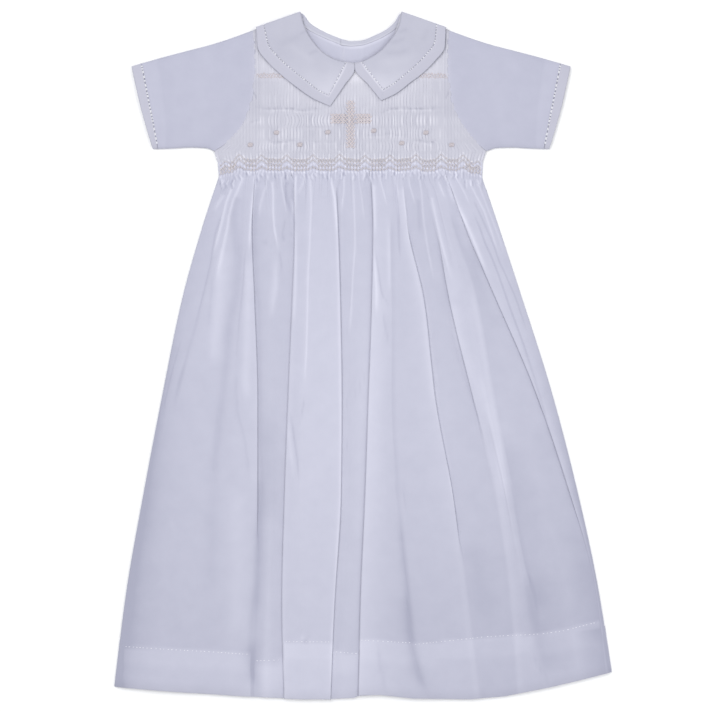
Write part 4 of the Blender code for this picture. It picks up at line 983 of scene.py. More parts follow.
def skirt_sections(sizes, levels):
    """Columns, and for each level the place across, the rise and the whiteness at each column."""
    at, place = pleat_columns(SKIRT_PLACES)
    keys, spots, rises, whites = [], [], [], []
    down = -np.array(LEVELS)
    held = np.clip(-np.asarray(levels, float), down[0], down[-1])
    left, right = (smooth(down, SKIRT[end][0], held) for end in (0, -1))

    def add(key, *values):
        keys.append(key)
        for table, value in zip((spots, rises, whites), values):
            table.append(value)

    for across, rise, white, side, tuck in SKIRT:
        column = (across[0] - SKIRT[0][0][0]) / (SKIRT[-1][0][0] - SKIRT[0][0][0]) * (len(at) - 1)
        line = smooth(down, across, held)
        lift = smooth((down[0], down[0] + 90.0, down[0] + 260.0, down[-1]),
                      (rise[0], rise[1], rise[1], rise[2]), held) * sizes.fold
        # how light the cloth is along the line: its layers, with painted shade towards the hem and the sides
        tone = smooth((down[0], down[0] + 230.0, down[-1]), white, held)
        if not side:
            add(column, line, lift, tone)
            continue
        # folds close in on themselves where they run out at a side edge
        room = np.clip((right - line if side < 0 else line - left) / 16.0, 0.1, 1.0)
        depth = smooth(down, tuck, held) * room
        under = ease(depth / 5.0)
        low = 0.35 * sizes.fold + 0.15
        drop = np.maximum(lift - low, 0.0)
        for step, deep, aside, open_, share, tint in FOLD_STEPS:
            folded = deep * depth + aside
            folded = np.where(np.abs(folded) > 5.9, folded * room, folded)
            soft = np.interp(step, (-6.0, 0.0, 10.0), (0.92, 0.85, 0.0))
            # towards the fold's foot the cloth is darker, from its fewer layers and from painted shade
            add(column + side * step, line + side * mix(open_ * room, folded, under),
                low + drop * mix(soft, share, under), mix(tone - 7.0, tone, tint))
    order = np.argsort(keys)
    keys, columns = np.array(keys)[order], np.arange(len(at), dtype=float)
    return at, place, [smooth(keys, np.array(table)[order].T, columns) for table in (spots, rises, whites)]


class GOWN_OT_front_skirt(bpy.types.Operator):
    """Builds the front skirt with its knife folds, gathers, creases and turned-up hem"""

    bl_idname = "gown.front_skirt"
    bl_label = "Front skirt"

    def execute(self, context):
        sizes, colours = context.scene.gown_sizes, context.scene.gown_colours
        levels = np.concatenate([
            [SPLIT, SPLIT - 0.05], np.arange(SPLIT - 0.75, 164.0, -0.85), np.arange(164.0, 140.0, -2.0),
            np.arange(140.0, 50.0, -4.0), np.arange(50.0, -262.0, -8.0), np.arange(-262.0, -292.0, -3.75),
            np.arange(-292.0, -326.0, -8.5), [HEM_LEVEL],
        ])
        at, place, (x, rise, white) = skirt_sections(sizes, levels)
        pleat = np.floor(at)
        index = pleat.astype(int)
        level = levels[:, None]
        hem_y = np.interp(x[-1], HEM[:, 0], HEM[:, 1])
        y = mix(SPLIT, hem_y, (SPLIT - level) / (SPLIT - HEM_LEVEL))
        # packed pleats at the waist, which open into gathers of their own lengths
        x = mix(x, split_x(at), 1.0 - ease((SPLIT - 6.0 - level) / 22.0))
        random = np.random.default_rng(11)
        reach = random.uniform(10.0, 26.0, PLEATS + 1)
        reach[random.random(PLEATS + 1) < 0.2] += 30.0
        tall = random.uniform(0.55, 1.1, PLEATS + 1)[index]
        fade = 1.0 - ease((SPLIT - 9.0 - level) / reach[index])
        gather = pleat_height(sizes, pleat, y) * mix(1.0, tall, ease((184.0 - level) / 6.0)) * fade
        rounded = 0.5 - 0.5 * np.cos(TURN * place)
        swell = puffs(at, place, x, y)
        profile = mix(rounded, pleat_profile(place), 1.0 - ease((SPLIT - 2.0 - level) / 4.0))
        across = np.clip(2.0 * at / PLEATS - 1.0, -1.0, 1.0)
        top = 1.25 + 2.4 * (1.0 - np.abs(across) ** 8) + 0.6 * swell
        top += gather * mix(profile, 0.6 + 0.3 * profile, ease((182.5 - level) / 4.0))
        z = mix(top, 2.9 + rise + gather * rounded * 0.6, ease((SPLIT - 7.0 - level) / 18.0))
        x += 0.9 * waver(at * 0.5, 22, 2.6) * hump(level, 171.0, 9.0)
        below_band = 205.5 + 1.2 * waver(x, 8, 30.0)
        tone = mix(chest_tone(x, y) + valley_painted_light(place), below_band, ease((183.0 - level) / 5.0))
        # painted highlight on the puffs of the band, and below it painted highlight on the gathers' tops and
        # painted shade in their valleys
        white = mix(tone, white, ease((SPLIT - 4.0 - level) / 26.0)) + 46.0 * swell
        white += 7.0 * fade * (rounded - 0.55) * tall * ease((180.0 - level) / 6.0)
        press(x, y, z, white, list(CREASES) + waist_hooks(), sizes.fold)
        calm = ease((150.0 - level) / 60.0)
        z += 0.18 * waver(at * 0.9 + 0.004 * level, 31, 9.0) * calm
        z += 0.08 * waver(y * 0.2 + at * 0.35, 33, 12.0) * calm
        # side edges turn down to the side seams
        edge = np.minimum(x - x[:, :1], x[:, -1:] - x)
        z = mix(z, mix(1.5, z, np.sqrt(np.clip(edge / 7.0, 0.0, 1.0))), ease((SPLIT - level) / 8.0))
        z = np.maximum(z, mix(1.5, 2.1, np.clip(edge / 3.0, 0.0, 1.0)))
        below = np.zeros_like(x)
        for low_x, low_y, high_x, high_y in HEM_LINES:
            inside = (x >= low_x - 1.0) & (x <= high_x + 1.0)
            line = low_y + (high_y - low_y) * (x - low_x) / (high_x - low_x)
            doubled = ease((line - y) / 1.2 + 0.5) - 0.4 * ease((line - 17.0 - y) / 2.0)
            below = np.where(inside, np.maximum(below, doubled), below)
        # the doubled hem is lighter; painted shade along both side edges where the cloth turns down, more
        # towards the hem
        side_shade = np.exp(-((x - x[:, :1]) / 11.0)) + 0.7 * np.exp(-((x[:, -1:] - x) / 5.0))
        white += 11.0 * below - 33.0 * side_shade * ease((90.0 - y) / 300.0)
        z += 0.25 * ease(below * 3.0)
        # the hem turns under and up again
        rows = [(x, y, z, white)]
        for up, rise, drop in ((0.4, -0.35, 0.35), *((up, up, 0.75) for up in (2.0, 10.0, 26.0, 44.0))):
            row, deep = (np.array([np.interp(-HEM_LEVEL - up, -levels, column) for column in values.T])
                         for values in (x, z))
            rows.append((row, hem_y + rise, deep - drop, np.full(len(at), 200.0)))
        x, y, z, white = (np.vstack(parts) for parts in zip(*rows))
        piece = cloth("front_skirt", (x, y, z), 0.3, cotton(colours), white, "batiste", "front")
        return {"FINISHED"}


def bodice_rows(outline, left, right, heights):
    """Plan of a bodice half between its side edges, with its top on an outline."""
    shares = np.linspace(0.0, 1.0, 80)
    top = by_length(outline, shares)
    share = ((heights - heights[0]) / (heights[-1] - heights[0]))[:, None]
    left, right = left[:, None], right[:, None]
    bend_left = left - mix(left[0], top[0, 0], share)
    bend_right = right - mix(right[0], top[-1, 0], share)
    x = mix(mix(left[0], right[0], shares), top[:, 0], share) + mix(bend_left, bend_right, shares)
    return x[::-1], mix(heights[0], top[:, 1], share)[::-1]


class GOWN_OT_back(bpy.types.Operator):
    """Builds the back skirt and both back halves, which lie under the front"""

    bl_idname = "gown.back"
    bl_label = "Back skirt and back halves"

    def execute(self, context):
        sizes, colours = context.scene.gown_sizes, context.scene.gown_colours
        levels = np.concatenate([
            np.arange(BACK_SEAM, 120.0, -3.0), np.arange(120.0, -275.0, -9.0), [-279.4, -280.6],
            np.arange(-290.0, -326.0, -6.0), [HEM_LEVEL],
        ])[:, None]
        shares = np.linspace(0.0, 1.0, 190)
        down = -np.array(LEVELS)
        held = np.clip(-levels[:, 0], down[0], down[-1])
        left, right = (smooth(down, SKIRT[end][0], held)[:, None] for end in (0, -1))
        x = mix(left, right, shares)
        hem_y = np.interp(x[-1], HEM[:, 0], HEM[:, 1])
        step = (BACK_SEAM - levels) / (BACK_SEAM - HEM_LEVEL)
        y = mix(BACK_SEAM, hem_y, step)
        gathers = np.abs(waver(shares * 100.0, 51, 2.6)) * (1.0 - ease(step / 0.35))
        z = 0.45 + 0.45 * gathers + 0.12 * waver(shares * 30.0 + step, 52, 2.0)
        white = 200.0 + 12.0 * gathers + 9.0 * (levels < -280.0)
        press(x, y, z, white, BACK_CREASES, sizes.fold)
        z = np.clip(z, 0.42, 1.25)
        piece = cloth("back_skirt_cloth", (x, y, z), 0.35, cotton(colours), white, "batiste", "back_skirt")
        for name, sign, low in (("left", -1, back_low), ("right", 1, back_low_over)):
            end = CENTRE - sign * PLACKET_HALF
            corner = (end, float(np.interp(end, BACK_NECK[:, 0], BACK_NECK[:, 1])))
            heights = np.linspace(WAIST, SHOULDER, 46)
            left, right = front_edges(heights)
            if sign < 0:
                outline = [[(-104.5, SHOULDER)], BACK_NECK[BACK_NECK[:, 0] < end - 1.0], [corner]]
                right = np.full(len(heights), end)
            else:
                outline = [[corner], BACK_NECK[BACK_NECK[:, 0] > end + 1.0], [(81.5, SHOULDER)]]
                left = np.full(len(heights), end)
            x, y = bodice_rows(np.concatenate(outline), left, right, heights)
            away = neck_distance(x, y)
            z = low(x, y) + 0.75 - 0.15 * (1.0 - ease(away / 3.0))
            z += 0.08 * waver(x * 0.2 + y * 0.1, 55, 9.0)
            tone = 208.0 - 3.0 * ease((away - 6.0) / 3.0) + 8.0 * ease((away - 14.0) / 10.0)
            # the edge of the binding shows through
            tone += 18.0 * hump(away, 5.6, 1.2)
            if sign > 0:
                z -= 0.45 * (1.0 - ease((x - end) / 5.0))
                # painted light along the lapped edge lifts the shade that the edge casts
                tone += 22.0 * hump(x, end, 0.9)
            piece = cloth("back_half_" + name, (x, y, z), 0.45, cotton(colours), tone,
                          "batiste", "back_bodice_" + name)
        return {"FINISHED"}


def sleeve_plan(lines, along, down):
    """Plan points of a sleeve between its armhole, upper, cuff and lower lines."""
    armhole, upper, cuff, lower = lines
    inner, outer = by_length(armhole, down), by_length(cuff, down)
    top, bottom = by_length(upper, along), by_length(lower, along)
    a, d = along[:, None, None], down[None, :, None]
    ruled = mix(inner[None], outer[None], a) + mix(top[:, None], bottom[:, None], d)
    corners = mix(mix(upper[0], upper[-1], a), mix(lower[0], lower[-1], a), d)
    return ruled - corners


def sleeve_lines(flip):
    """Outlines of a sleeve, the share along it where its cuff band starts, and its width."""
    column = 2 if flip else 1
    upper, cuff, lower = map(np.array, (SLEEVE_TOP_LINE, SLEEVE_CUFF_LINE, SLEEVE_LOWER_LINE))
    if flip:
        for line in (upper, cuff, lower):
            line[:, 0] = 2.0 * CENTRE - line[:, 0]
    armhole = BODICE[BODICE[:, 0] >= UNDERARM][::-1][:, [column, 0]]
    lower[0] = armhole[-1]
    lines = (armhole, upper, cuff, lower)
    start, end = sleeve_plan(lines, np.array((0.0, 1.0)), np.array([0.5]))[:, 0]
    width = np.hypot(*(end - start))
    return lines, 1.0 - CUFF_DEPTH / width, width


class GOWN_OT_sleeves(bpy.types.Operator):
    """Builds both sleeves and the hem bands of their cuffs as flattened tubes"""

    bl_idname = "gown.sleeves"
    bl_label = "Sleeves"

    def execute(self, context):
        colours = context.scene.gown_colours
        over = np.concatenate([[0.0, 0.004, 0.012], np.linspace(0.03, 0.97, 44), [0.988, 0.996, 1.0]])
        under = np.concatenate([[0.99], np.linspace(0.96, 0.04, 20), [0.01]])
        down = np.concatenate([over, under])
        above = np.arange(len(down)) < len(over)
        across = np.abs(2.0 * down - 1.0)
        for name, flip in SIDES:
            lines, cut, width = sleeve_lines(flip)
            for part in ("sleeve", "band"):
                if part == "sleeve":
                    along = np.concatenate([np.linspace(-0.006, cut - 0.6 / width, 58),
                                            cut + np.array((-0.3, 0.0, 1.5)) / width])
                else:
                    along = np.concatenate([[cut + 0.5 / width], np.linspace(cut + 0.8 / width, 1.0, 9)])
                a = along[:, None]
                seam = np.abs(a)
                puff = 4.3 + 0.7 * np.sin(math.pi * np.clip(a, 0, 1)) * (1.0 - across ** 2)
                puff -= 0.85 * np.exp(-seam / 0.02)
                # small puckers along the armhole, and shallow dents further out
                upper = 1.0 - ease((down - 0.5) / 0.2)
                puff += 0.30 * np.sin(down * 88.0) * np.exp(-seam / 0.10) * upper
                puff += 0.14 * waver(a * 40.0 + down * 25.0, 61, 16.0)
                puff += 0.1 * waver(down * 60.0 - a * 18.0, 62, 14.0)
                high = SLEEVE_RIM + (puff - SLEEVE_RIM) * np.sqrt(np.clip(1.0 - across ** 14, 0.0, 1.0))
                low = SLEEVE_RIM - 1.25 * np.sqrt(np.clip(1.0 - across ** 10, 0.0, 1.0))
                # lighter where the cuff's hem is doubled; painted light along the armhole seam lifts the
                # shade of the seam line, a little lighter halfway along, and painted shade towards the side
                # edges where the sleeve turns under
                tone = 194.0 + 4.0 * (1.0 - ease(((1.0 - a) * width - 21.0) / 1.5))
                tone = tone + 6.0 * np.exp(-a / 0.05) + 16.0 * np.exp(-seam / 0.008)
                tone = tone + 3.0 * hump(a, 0.45, 0.3) - 3.0 * across ** 6
                if part == "band":
                    z = np.where(above, high + 0.15, low)
                    tone = tone + 2.0
                else:
                    # the sleeve's end slips into its band
                    slip = ease((a - cut + 0.4 / width) * width / 0.4)
                    z = np.where(above, high - 0.75 * slip, low + 0.65 * slip)
                values = [*np.moveaxis(sleeve_plan(lines, along, down), -1, 0), z, tone]
                if flip:
                    values = [value[:, ::-1] for value in values]
                # rows run round the sleeve, over the top first, and columns along it
                x, y, z, tone = (np.hstack([value, value[:, :1]]).T[:, ::-1] for value in values)
                if part == "sleeve":
                    piece = cloth("sleeve_cloth_" + name, (x, y, z), 0.4, cotton(colours), tone,
                                  "batiste", "sleeve_" + name)
                else:
                    piece = cloth("cuff_band_" + name, (x, y, z), 0.6, cotton(colours, "doubled_cotton"),
                                  tone, "doubled_batiste", "sleeve_band_" + name)
        return {"FINISHED"}


def even_rows(table, count):
    """Rows of a table at even steps along the line in its last two columns."""
    keys = lengths_along(table[:, 4:6])
    return smooth(keys, table.T, np.linspace(0.0, keys[-1], count)).T


def between(rows, share):
    """Places across a strip whose rows start with two points of the plan."""
    return (mix(rows[:, c:c + 1], rows[:, c + 2:c + 3], share) for c in (0, 1))


def mirrored(table, flip):
    """A table of points in plan, for the other side of the gown if asked."""
    table = table.copy()
    if flip:
        table[:, 0::2] = 2.0 * CENTRE - table[:, 0::2]
    return table


def collar_path(front, flip):
    """Rows of a collar half from its front end over the shoulder to the back.

    Gives the plan of neck, stitch line and outer edge, the height, the roll out from the fold,
    the angle turned over, and the way out.
    """
    back = mirrored(COLLAR_BACK, flip)
    back[:, 1] = np.interp(back[:, 0], BACK_NECK[:, 0], BACK_NECK[:, 1]) - 0.4
    fold = front[-1]
    face = even_rows(front, 40)[:-1]
    rear = even_rows(np.concatenate([[fold], back]), 22)[1:]
    run = fold[0:2] - fold[4:6]
    out = np.array((-run[1], run[0]) if run[0] > 0.0 else (run[1], -run[0])) / np.hypot(*run)
    over = np.linspace(0.0, math.pi, 13)
    plan = np.concatenate([face, np.tile(fold, (len(over), 1)), rear])
    turn = np.concatenate([np.zeros(len(face)), over, np.full(len(rear), math.pi)])
    height = mix(COLLAR_LOW, COLLAR_TOP, 0.5 + 0.5 * np.cos(turn))
    return plan, height, 2.0 * np.sin(turn), turn, out


def collar_body(path, flip):
    """Rows of a collar half inside its border: x, y, z and whiteness."""
    plan, height, roll, turn, out = path
    # the front edge slips under the border too
    run = plan[0, 2:4] - plan[0, 0:2]
    run = run / np.hypot(*run)
    away = np.array((run[1], -run[0]) if flip else (-run[1], run[0]))
    added = [plan[0] + step * np.tile(away, 3) for step in (0.8, 0.0, -0.2, -0.5)]
    plan = np.concatenate([added, plan[1:]])
    height, roll, turn = (np.concatenate([values[:1].repeat(3), values])[:, None]
                          for values in (height, roll, turn))
    end_slip = np.zeros((len(plan), 1))
    end_slip[:3, 0] = (1.0, 1.0, 0.5)
    width = np.hypot(*(plan[:, 2:4] - plan[:, 0:2]).T)[:, None]
    s = np.hstack([np.linspace(0.0, 1.0, 26) * (1.0 - 0.5 / width),
                   1.0 + np.array((-0.2, 0.0, 0.8)) / width])
    row = np.arange(len(plan))[:, None] / len(plan)
    facing = ease((height - 5.0) / 2.0)
    dents = 0.12 * waver(row * 30.0 + s * 4.0, 71 + flip, 9.0)
    z = height + (0.35 * np.sin(math.pi * np.clip(s, 0, 1)) + dents - 0.6 * (1.0 - ease(s / 0.06))) * facing
    # the rim slips under the border
    slip = mix(0.3, 0.62, facing) * np.maximum(ease((s - 1.0 + 0.5 / width) * width / 0.5), end_slip)
    z -= slip * np.cos(turn)
    x, y = (spot + (roll - slip * np.sin(turn)) * way for spot, way in zip(between(plan, s), out))
    # painted shade along the neck edge where the collar rolls over; the cloth is also lighter towards the
    # front end and the border
    tone = 197.5 + 21.0 * hump(row, 0.02, 0.20) * s - 9.0 * facing * (1.0 - ease(s / 0.03))
    wrinkles = [(points, depth, wide, wide, shade) for points, depth, wide, shade in COLLAR_WRINKLES
                if (points[0][0] > CENTRE) == flip]
    shown = slice(0, 43)
    press(x[shown], y[shown], z[shown], tone[shown], wrinkles)
    return x, y, z, tone


def collar_border(path, end, flip):
    """Rows of a mitred border from its front end round to the back neck: x, y, z and whiteness."""
    plan, height, roll, _, out = path
    rear = mirrored(BORDER_BACK_END, flip)
    rear[1, 1::2] = np.interp(rear[1, 0::2], BACK_NECK[:, 0], BACK_NECK[:, 1]) - 0.5
    before, after = [], []
    for c in (0, 2):
        inner_end = np.concatenate([end[:, c:c + 2], plan[:1, c + 2:c + 4]])
        before.append(by_length(inner_end, np.linspace(0.0, 1.0, 16))[:-1])
        tail = np.concatenate([plan[-1:, c + 2:c + 4], rear[:, c:c + 2]])
        after.append(by_length(tail, np.linspace(0.0, 1.0, 10))[1:])
    strip = np.concatenate([np.hstack(before), plan[:, 2:6], np.hstack(after)])
    front_rows, back_rows = len(before[0]), len(after[0])
    added = (front_rows, back_rows)
    high = np.pad(height, added, constant_values=(COLLAR_TOP, COLLAR_LOW))[:, None]
    roll = np.pad(roll, added)[:, None]
    breadth = np.hypot(*(strip[:, 2:4] - strip[:, 0:2]).T)[:, None]
    t = np.array((0.0, 0.05, 0.1, 0.15, 0.25, 0.4, 0.6, 0.8))
    t = np.hstack([mix(0.2 / breadth, 1.0, t), 1.0 - 0.35 / breadth, np.ones_like(breadth)])
    x, y = (spot + roll * way for spot, way in zip(between(strip, t), out))
    row = np.arange(len(strip))[:, None]
    facing = ease((high - 5.0) / 2.0)
    mitre, shown = hump(row, front_rows, 0.8), hump(row, 8.0, 9.0)
    z = high + (0.15 * np.sin(math.pi * t) - 0.55 * t ** 3) * facing - 0.12 * mitre
    tone = 201.0 - 3.0 * mitre + (3.0 + 24.0 * shown) * hump(t, 0.12, 0.06) + 3.0 * shown
    # painted shade along the outer rim, less of it at the front end
    tone[:, -1:] = np.interp(row, (1.0, 3.0), (190.0, 125.0))
    return x, y, z, tone


class GOWN_OT_collar(bpy.types.Operator):
    """Builds both collar halves and their mitred borders"""

    bl_idname = "gown.collar"
    bl_label = "Collar"

    def execute(self, context):
        colours = context.scene.gown_colours
        for name, front, end, flip in COLLAR_HALVES:
            path = collar_path(front, flip)
            # both halves are laid down from left to right
            way = -1 if flip else 1
            x, y, z, tone = (values[::way] for values in collar_body(path, flip))
            piece = cloth("collar_cloth_" + name, (x, y, z), 0.5, cotton(colours, "collar_cotton"), tone,
                          "collar_batiste", "collar_" + name)
            x, y, z, tone = (values[::way] for values in collar_border(path, end, flip))
            piece = cloth("collar_edge_" + name, (x, y, z), 0.6, cotton(colours, "doubled_cotton"), tone,
                          "doubled_batiste", "collar_border_" + name)
        return {"FINISHED"}


class GOWN_OT_binding(bpy.types.Operator):
    """Builds the bias binding on the inside of the back neck"""

    bl_idname = "gown.binding"
    bl_label = "Neck binding"

    def execute(self, context):
        colours = context.scene.gown_colours
        # the right half laps over the placket and starts on its edge
        over = np.concatenate([[(-21.5, 303.6, -21.8, 298.0)], BINDING[4:]])
        for name, table, low in (("left", BINDING[:4], back_low), ("right", over, back_low_over)):
            t = np.linspace(0.0, 1.0, 9)
            x, y = between(by_length(table, np.linspace(0.0, 1.0, 40)), t)
            z = low(x, y) + 1.2 + 0.2 * np.sin(math.pi * t) - 0.32 * t ** 4
            if name == "right":
                z -= 0.25 * (1.0 - ease((x + 21.8) / 3.0))
            # painted highlight along the strip near its folded lower edge
            piece = cloth("neck_bias_" + name, (x, y, z), 0.35, cotton(colours, "bias_strip_cotton"),
                          203.0 + 26.0 * hump(t, 0.88, 0.13), "bias_binding", "neck_binding_" + name)
        return {"FINISHED"}


class GOWN_OT_buttons(bpy.types.Operator):
    """Gives the three buttons of the back their shell finish"""

    bl_idname = "gown.buttons"
    bl_label = "Buttons"

    def execute(self, context):
        shell = kept("trochus_shell", trochus_shell, tuple(context.scene.gown_colours.shell))
        for number in (1, 2, 3):
            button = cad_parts["button_%d" % number]
            button.data.materials.clear()
            button.data.materials.append(shell)
        return {"FINISHED"}


def row_of_stitches(top, xs, line, rise, lift=0.3):
    """Stitches between places across, in turn above and below a line, arched over the pleats."""
    paths = []
    for k, (a, b) in enumerate(zip(xs, xs[1:])):
        turn = 1 if k % 2 else -1
        path = []
        for share in (0.0, 0.25, 0.5, 0.75, 1.0):
            x = mix(a, b, share)
            y = mix(line(a), line(b), share) + turn * rise(x) * (1.0 - 2.0 * float(ease(share)))
            path.append((x, y, top(x, y) + lift * math.sin(math.pi * share) + 0.15))
        level = max(place[2] for place in path)
        paths.append([(x, y, max(z, level - 0.6)) for x, y, z in path])
    return paths


def lattice(top, left, right, low, high, wide, tall):
    """Cable stitches worked row over row, each row half a stitch along from the last."""
    paths = []
    for k, y in enumerate(np.arange(low, high, tall)):
        start = left + (0.5 * wide if k % 2 else 0.0)
        for a in np.arange(start, right - 0.6 * wide, wide):
            level = 0.1 + max(top(a, y), top(a + 0.5 * wide, y), top(a + wide, y))
            paths.append([
                (a + share * wide, y + 0.42 * tall * math.cos(TURN * share),
                 level + 0.35 * math.sin(math.pi * share))
                for share in (0.0, 0.2, 0.4, 0.6, 0.8, 1.0)
            ])
    return paths


class GOWN_OT_smocking(bpy.types.Operator):
    """Works the trellis, the waist band, the cross and the bullion knots"""

    bl_idname = "gown.smocking"
    bl_label = "Smocking thread"

    def execute(self, context):
        sizes, colours = context.scene.gown_sizes, context.scene.gown_colours
        top = surface_of(bpy.data.objects["front_chest"], bpy.data.objects["front_skirt"])
        left, right = float(split_x(0.0)), float(split_x(PLEATS))
        pitch = (right - left) / PLEATS
        # the two wave rows arch round each pleat between sharp peaks
        xs = left + 0.5 * pitch * np.arange(1, 2 * PLEATS)
        for peak in WAVE_PEAKS:
            xs[np.argmin(np.abs(xs - peak))] = peak
        line = [lambda x, n=n: float(band_lines(x)[0][n] + 0.3 * waver(x, 27 + n, 3.1)) for n in range(3)]

        def zigzag(x):
            return (2.3 + 0.4 * waver(x, 26, 6.0)) * (1.0 - float(ease(3.0 * band_lines(x)[1] - 0.3)))

        band = row_of_stitches(top, xs, line[0], lambda x: -zigzag(x))
        band += row_of_stitches(top, xs, line[1], lambda x: -0.85 * zigzag(x))
        band += row_of_stitches(top, xs, line[2], lambda x: 1.2 + 0.3 * waver(x, 25, 7.0))
        # at both sides the rows crowd together
        for side in (xs[xs < BAND_SIDES[0]], xs[xs > BAND_SIDES[1]]):
            for share, turn in ((0.5, 1.3), (0.28, -0.9)):
                band += row_of_stitches(top, side, lambda x: mix(line[2](x), line[0](x), share),
                                        lambda x: turn)
        stitches("waist_band_thread", band, sizes.thread * 0.84, grey_cotton(colours))
        upper = []
        for low, high in ((-102.5, -75.0), (52.5, 80.5)):
            row = np.arange(low, high, 0.5 * pitch)
            upper += row_of_stitches(top, row, lambda x: 269.3 + 0.4 * waver(x, 51, 5.0),
                                     lambda x: 1.3 + 0.5 * waver(x, 52, 4.0))
            upper += row_of_stitches(top, row + 0.5 * pitch, lambda x: 266.8,
                                     lambda x: 0.9 + 0.5 * waver(x, 53, 4.0))
        stitches("trellis_thread", upper, sizes.thread * 0.65, ecru_cotton(colours))
        wide, tall = 2.9, 1.9
        cross = lattice(top, CROSS_X - 4.4, CROSS_X + 4.4, CROSS_FOOT, CROSS_TOP, wide, tall)
        for low, high in ((CROSS_X - 19.5, CROSS_X - 4.6), (CROSS_X + 4.6, CROSS_X + 20.5)):
            cross += lattice(top, low, high, CROSS_BAR - 4.0, CROSS_BAR + 4.4, wide, tall)
        stitches("cross_thread", cross, sizes.thread * 1.05, ecru_cotton(colours))
        knots = []
        for x, y in KNOTS:
            level = max(top(x + aside, y) for aside in (-2.0, -1.0, 0.0, 1.0, 2.0)) - 0.2
            for wrap in range(-2, 3):
                off = wrap * 0.95
                half = 1.95 * math.sqrt(max(0.2, 1.0 - (off / 3.0) ** 2))
                knots.append([
                    (x + off + 0.25 * angle, y + half * math.sin(angle), level + 1.1 * math.cos(angle))
                    for angle in np.linspace(-1.5, 1.5, 7)
                ])
        stitches("bullion_knot_thread", knots, sizes.thread * 1.2, knot_cotton(colours), sides=2)
        return {"FINISHED"}


def ladder(run, pitch, reach, lift, most=3):
    """Short bars across a line of points in space, in uneven groups of one bar or more."""
    bars = []
    random = np.random.default_rng(len(run))
    lengths = np.concatenate(([0.0], np.cumsum(np.linalg.norm(np.diff(run, axis=0), axis=1))))
    places, at = [], 1.0
    while at < lengths[-1] - 2.0:
        places += [at + 0.5 * k for k in range(random.integers(most - 2, most + 1))]
        at = places[-1] + pitch * random.uniform(0.7, 1.35)
    for number, at in enumerate(places):
        here, ahead = (np.array([np.interp(place, lengths, values) for values in run.T])
                       for place in (at, at + 0.5))
        way = (ahead - here)[:2]
        way = way / max(1e-6, np.hypot(*way))
        side = np.array((-way[1], way[0]))
        lean = (0.2 if number % 2 else -0.2) * way
        a, b = here[:2] - reach * side + lean, here[:2] + reach * side - lean
        z = here[2] + lift
        bars.append([(a[0], a[1], z - 0.1), (*(0.5 * (a + b)), z + 0.05), (b[0], b[1], z - 0.1)])
    return bars


class GOWN_OT_hemstitching(bpy.types.Operator):
    """Works the open hemstitch ladders of collar and cuffs and the hem stitching"""

    bl_idname = "gown.hemstitching"
    bl_label = "Hemstitching"

    def execute(self, context):
        colours = context.scene.gown_colours
        white = sewing_cotton(colours)
        bars = []
        for _, front, end, flip in COLLAR_HALVES:
            plan, height, roll, _, out = collar_path(front, flip)
            shown = slice(1, 52)
            line = np.concatenate([end[:2, 0:2], plan[:1, 2:4], plan[shown, 2:4] + roll[shown, None] * out])
            high = np.concatenate([[COLLAR_TOP] * 3, height[shown]])
            bars += ladder(np.column_stack([line, high]), 2.4, 0.6, 0.12)
        stitches("collar_hemstitch", bars, 0.28, white, "doubled_batiste")
        for name, flip in SIDES:
            top = surface_of(*(bpy.data.objects[part + name] for part in ("sleeve_cloth_", "cuff_band_")))
            lines, cut, width = sleeve_lines(flip)
            down = np.linspace(0.02, 0.98, 60)
            seam = sleeve_plan(lines, np.array([cut + 0.1 / width, cut + 1.1 / width]), down)
            run = np.array([(*place, top(*beside) + 0.1) for place, beside in zip(*seam)])
            bars = ladder(run, 2.2, 1.0, 0.2, most=5)
            bars += [[(x, y, 0.28) for x, y, _ in bar] for bar in bars[::2]]
            stitches("cuff_hemstitch_" + name, bars, 0.26, white, "doubled_batiste")
        top = surface_of(bpy.data.objects["front_skirt"])
        hem, random = [], np.random.default_rng(3)
        for low_x, low_y, high_x, high_y in HEM_LINES:
            x = low_x + 1.0
            while x < high_x - 2.0:
                y = low_y + (high_y - low_y) * (x - low_x) / (high_x - low_x)
                length = random.uniform(0.8, 1.7)
                path = ((x, -0.05), (x + 0.5 * length, 0.15), (x + length, -0.05))
                hem.append([(spot, y, top(spot, y) + lift) for spot, lift in path])
                x += length + random.uniform(1.4, 3.6)
        stitches("hem_stitching", hem, 0.29, white)
        return {"FINISHED"}


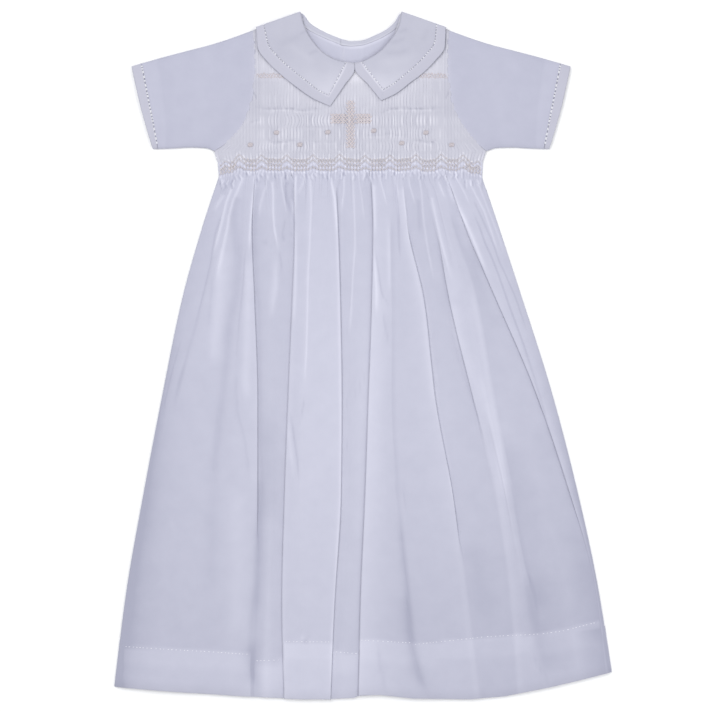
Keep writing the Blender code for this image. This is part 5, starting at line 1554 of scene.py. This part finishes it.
class GOWN_OT_stage(bpy.types.Operator):
    """Sets up the surface, the soft light and the camera straight above"""

    bl_idname = "gown.stage"
    bl_label = "Stage"

    def execute(self, context):
        scene = context.scene
        sizes, colours = scene.gown_sizes, scene.gown_colours
        bpy.ops.mesh.primitive_grid_add(x_subdivisions=4, y_subdivisions=4, size=8.0,
                                        location=(0.0, 0.0, -0.0003))
        surface = context.object
        surface.name = "surface"
        surface.data.materials.append(kept("white_seamless_paper", seamless_paper, tuple(colours.surface)))
        world = scene.world or bpy.data.worlds.new("soft studio")
        scene.world = world
        world.use_nodes = True
        nodes = world.node_tree.nodes
        ground = nodes.get("Background") or nodes.new("ShaderNodeBackground")
        ground.inputs["Color"].default_value = (0.97, 0.98, 1.0, 1.0)
        ground.inputs["Strength"].default_value = 0.75
        lamps = (
            ("key", (-0.55, 0.75, 1.9), 1.2, 16.0),
            ("fill", (1.1, -0.3, 1.8), 1.6, 9.0),
        )
        for name, place, size, power in lamps:
            light = bpy.data.lights.new(name, "AREA")
            light.shape = "DISK"
            light.size = size
            light.energy = power
            lamp = bpy.data.objects.new(name, light)
            lamp.location = place
            lamp.rotation_euler = (-Vector(place)).to_track_quat("-Z", "Y").to_euler()
            scene.collection.objects.link(lamp)
        camera = bpy.data.objects.new("camera", bpy.data.cameras.new("camera"))
        camera.location = (0.00048, -0.00096, sizes.camera_height)
        camera.rotation_euler = (0.0, 0.0, 0.0)
        camera.data.sensor_width = 36.0
        camera.data.lens = 36.0 * (sizes.camera_height - 0.005) / 0.6979
        scene.collection.objects.link(camera)
        scene.camera = camera
        scene.view_settings.view_transform = "Standard"
        return {"FINISHED"}


class GOWN_PT_panel(bpy.types.Panel):
    """Lists the pieces of the gown"""

    bl_idname = "GOWN_PT_panel"
    bl_label = "Christening Gown"
    bl_space_type = "VIEW_3D"
    bl_region_type = "UI"
    bl_category = "Gown"

    def draw(self, context):
        for group in (context.scene.gown_sizes, context.scene.gown_colours):
            for name in group.__annotations__:
                self.layout.prop(group, name)
        for step in STEPS:
            self.layout.operator(step.bl_idname)


STEPS = (
    GOWN_OT_back, GOWN_OT_sleeves, GOWN_OT_front_chest, GOWN_OT_front_skirt, GOWN_OT_binding,
    GOWN_OT_collar, GOWN_OT_buttons, GOWN_OT_smocking, GOWN_OT_hemstitching, GOWN_OT_stage,
)
CLASSES = (GownSizes, GownColours) + STEPS + (GOWN_PT_panel,)


def register():
    for kind in CLASSES:
        bpy.utils.register_class(kind)
    bpy.types.Scene.gown_sizes = bpy.props.PointerProperty(type=GownSizes)
    bpy.types.Scene.gown_colours = bpy.props.PointerProperty(type=GownColours)


def unregister():
    del bpy.types.Scene.gown_sizes
    del bpy.types.Scene.gown_colours
    for kind in reversed(CLASSES):
        bpy.utils.unregister_class(kind)


def main():
    register()
    for step in STEPS:
        group, name = step.bl_idname.split(".")
        getattr(getattr(bpy.ops, group), name)()


if __name__ == "__main__":
    main()
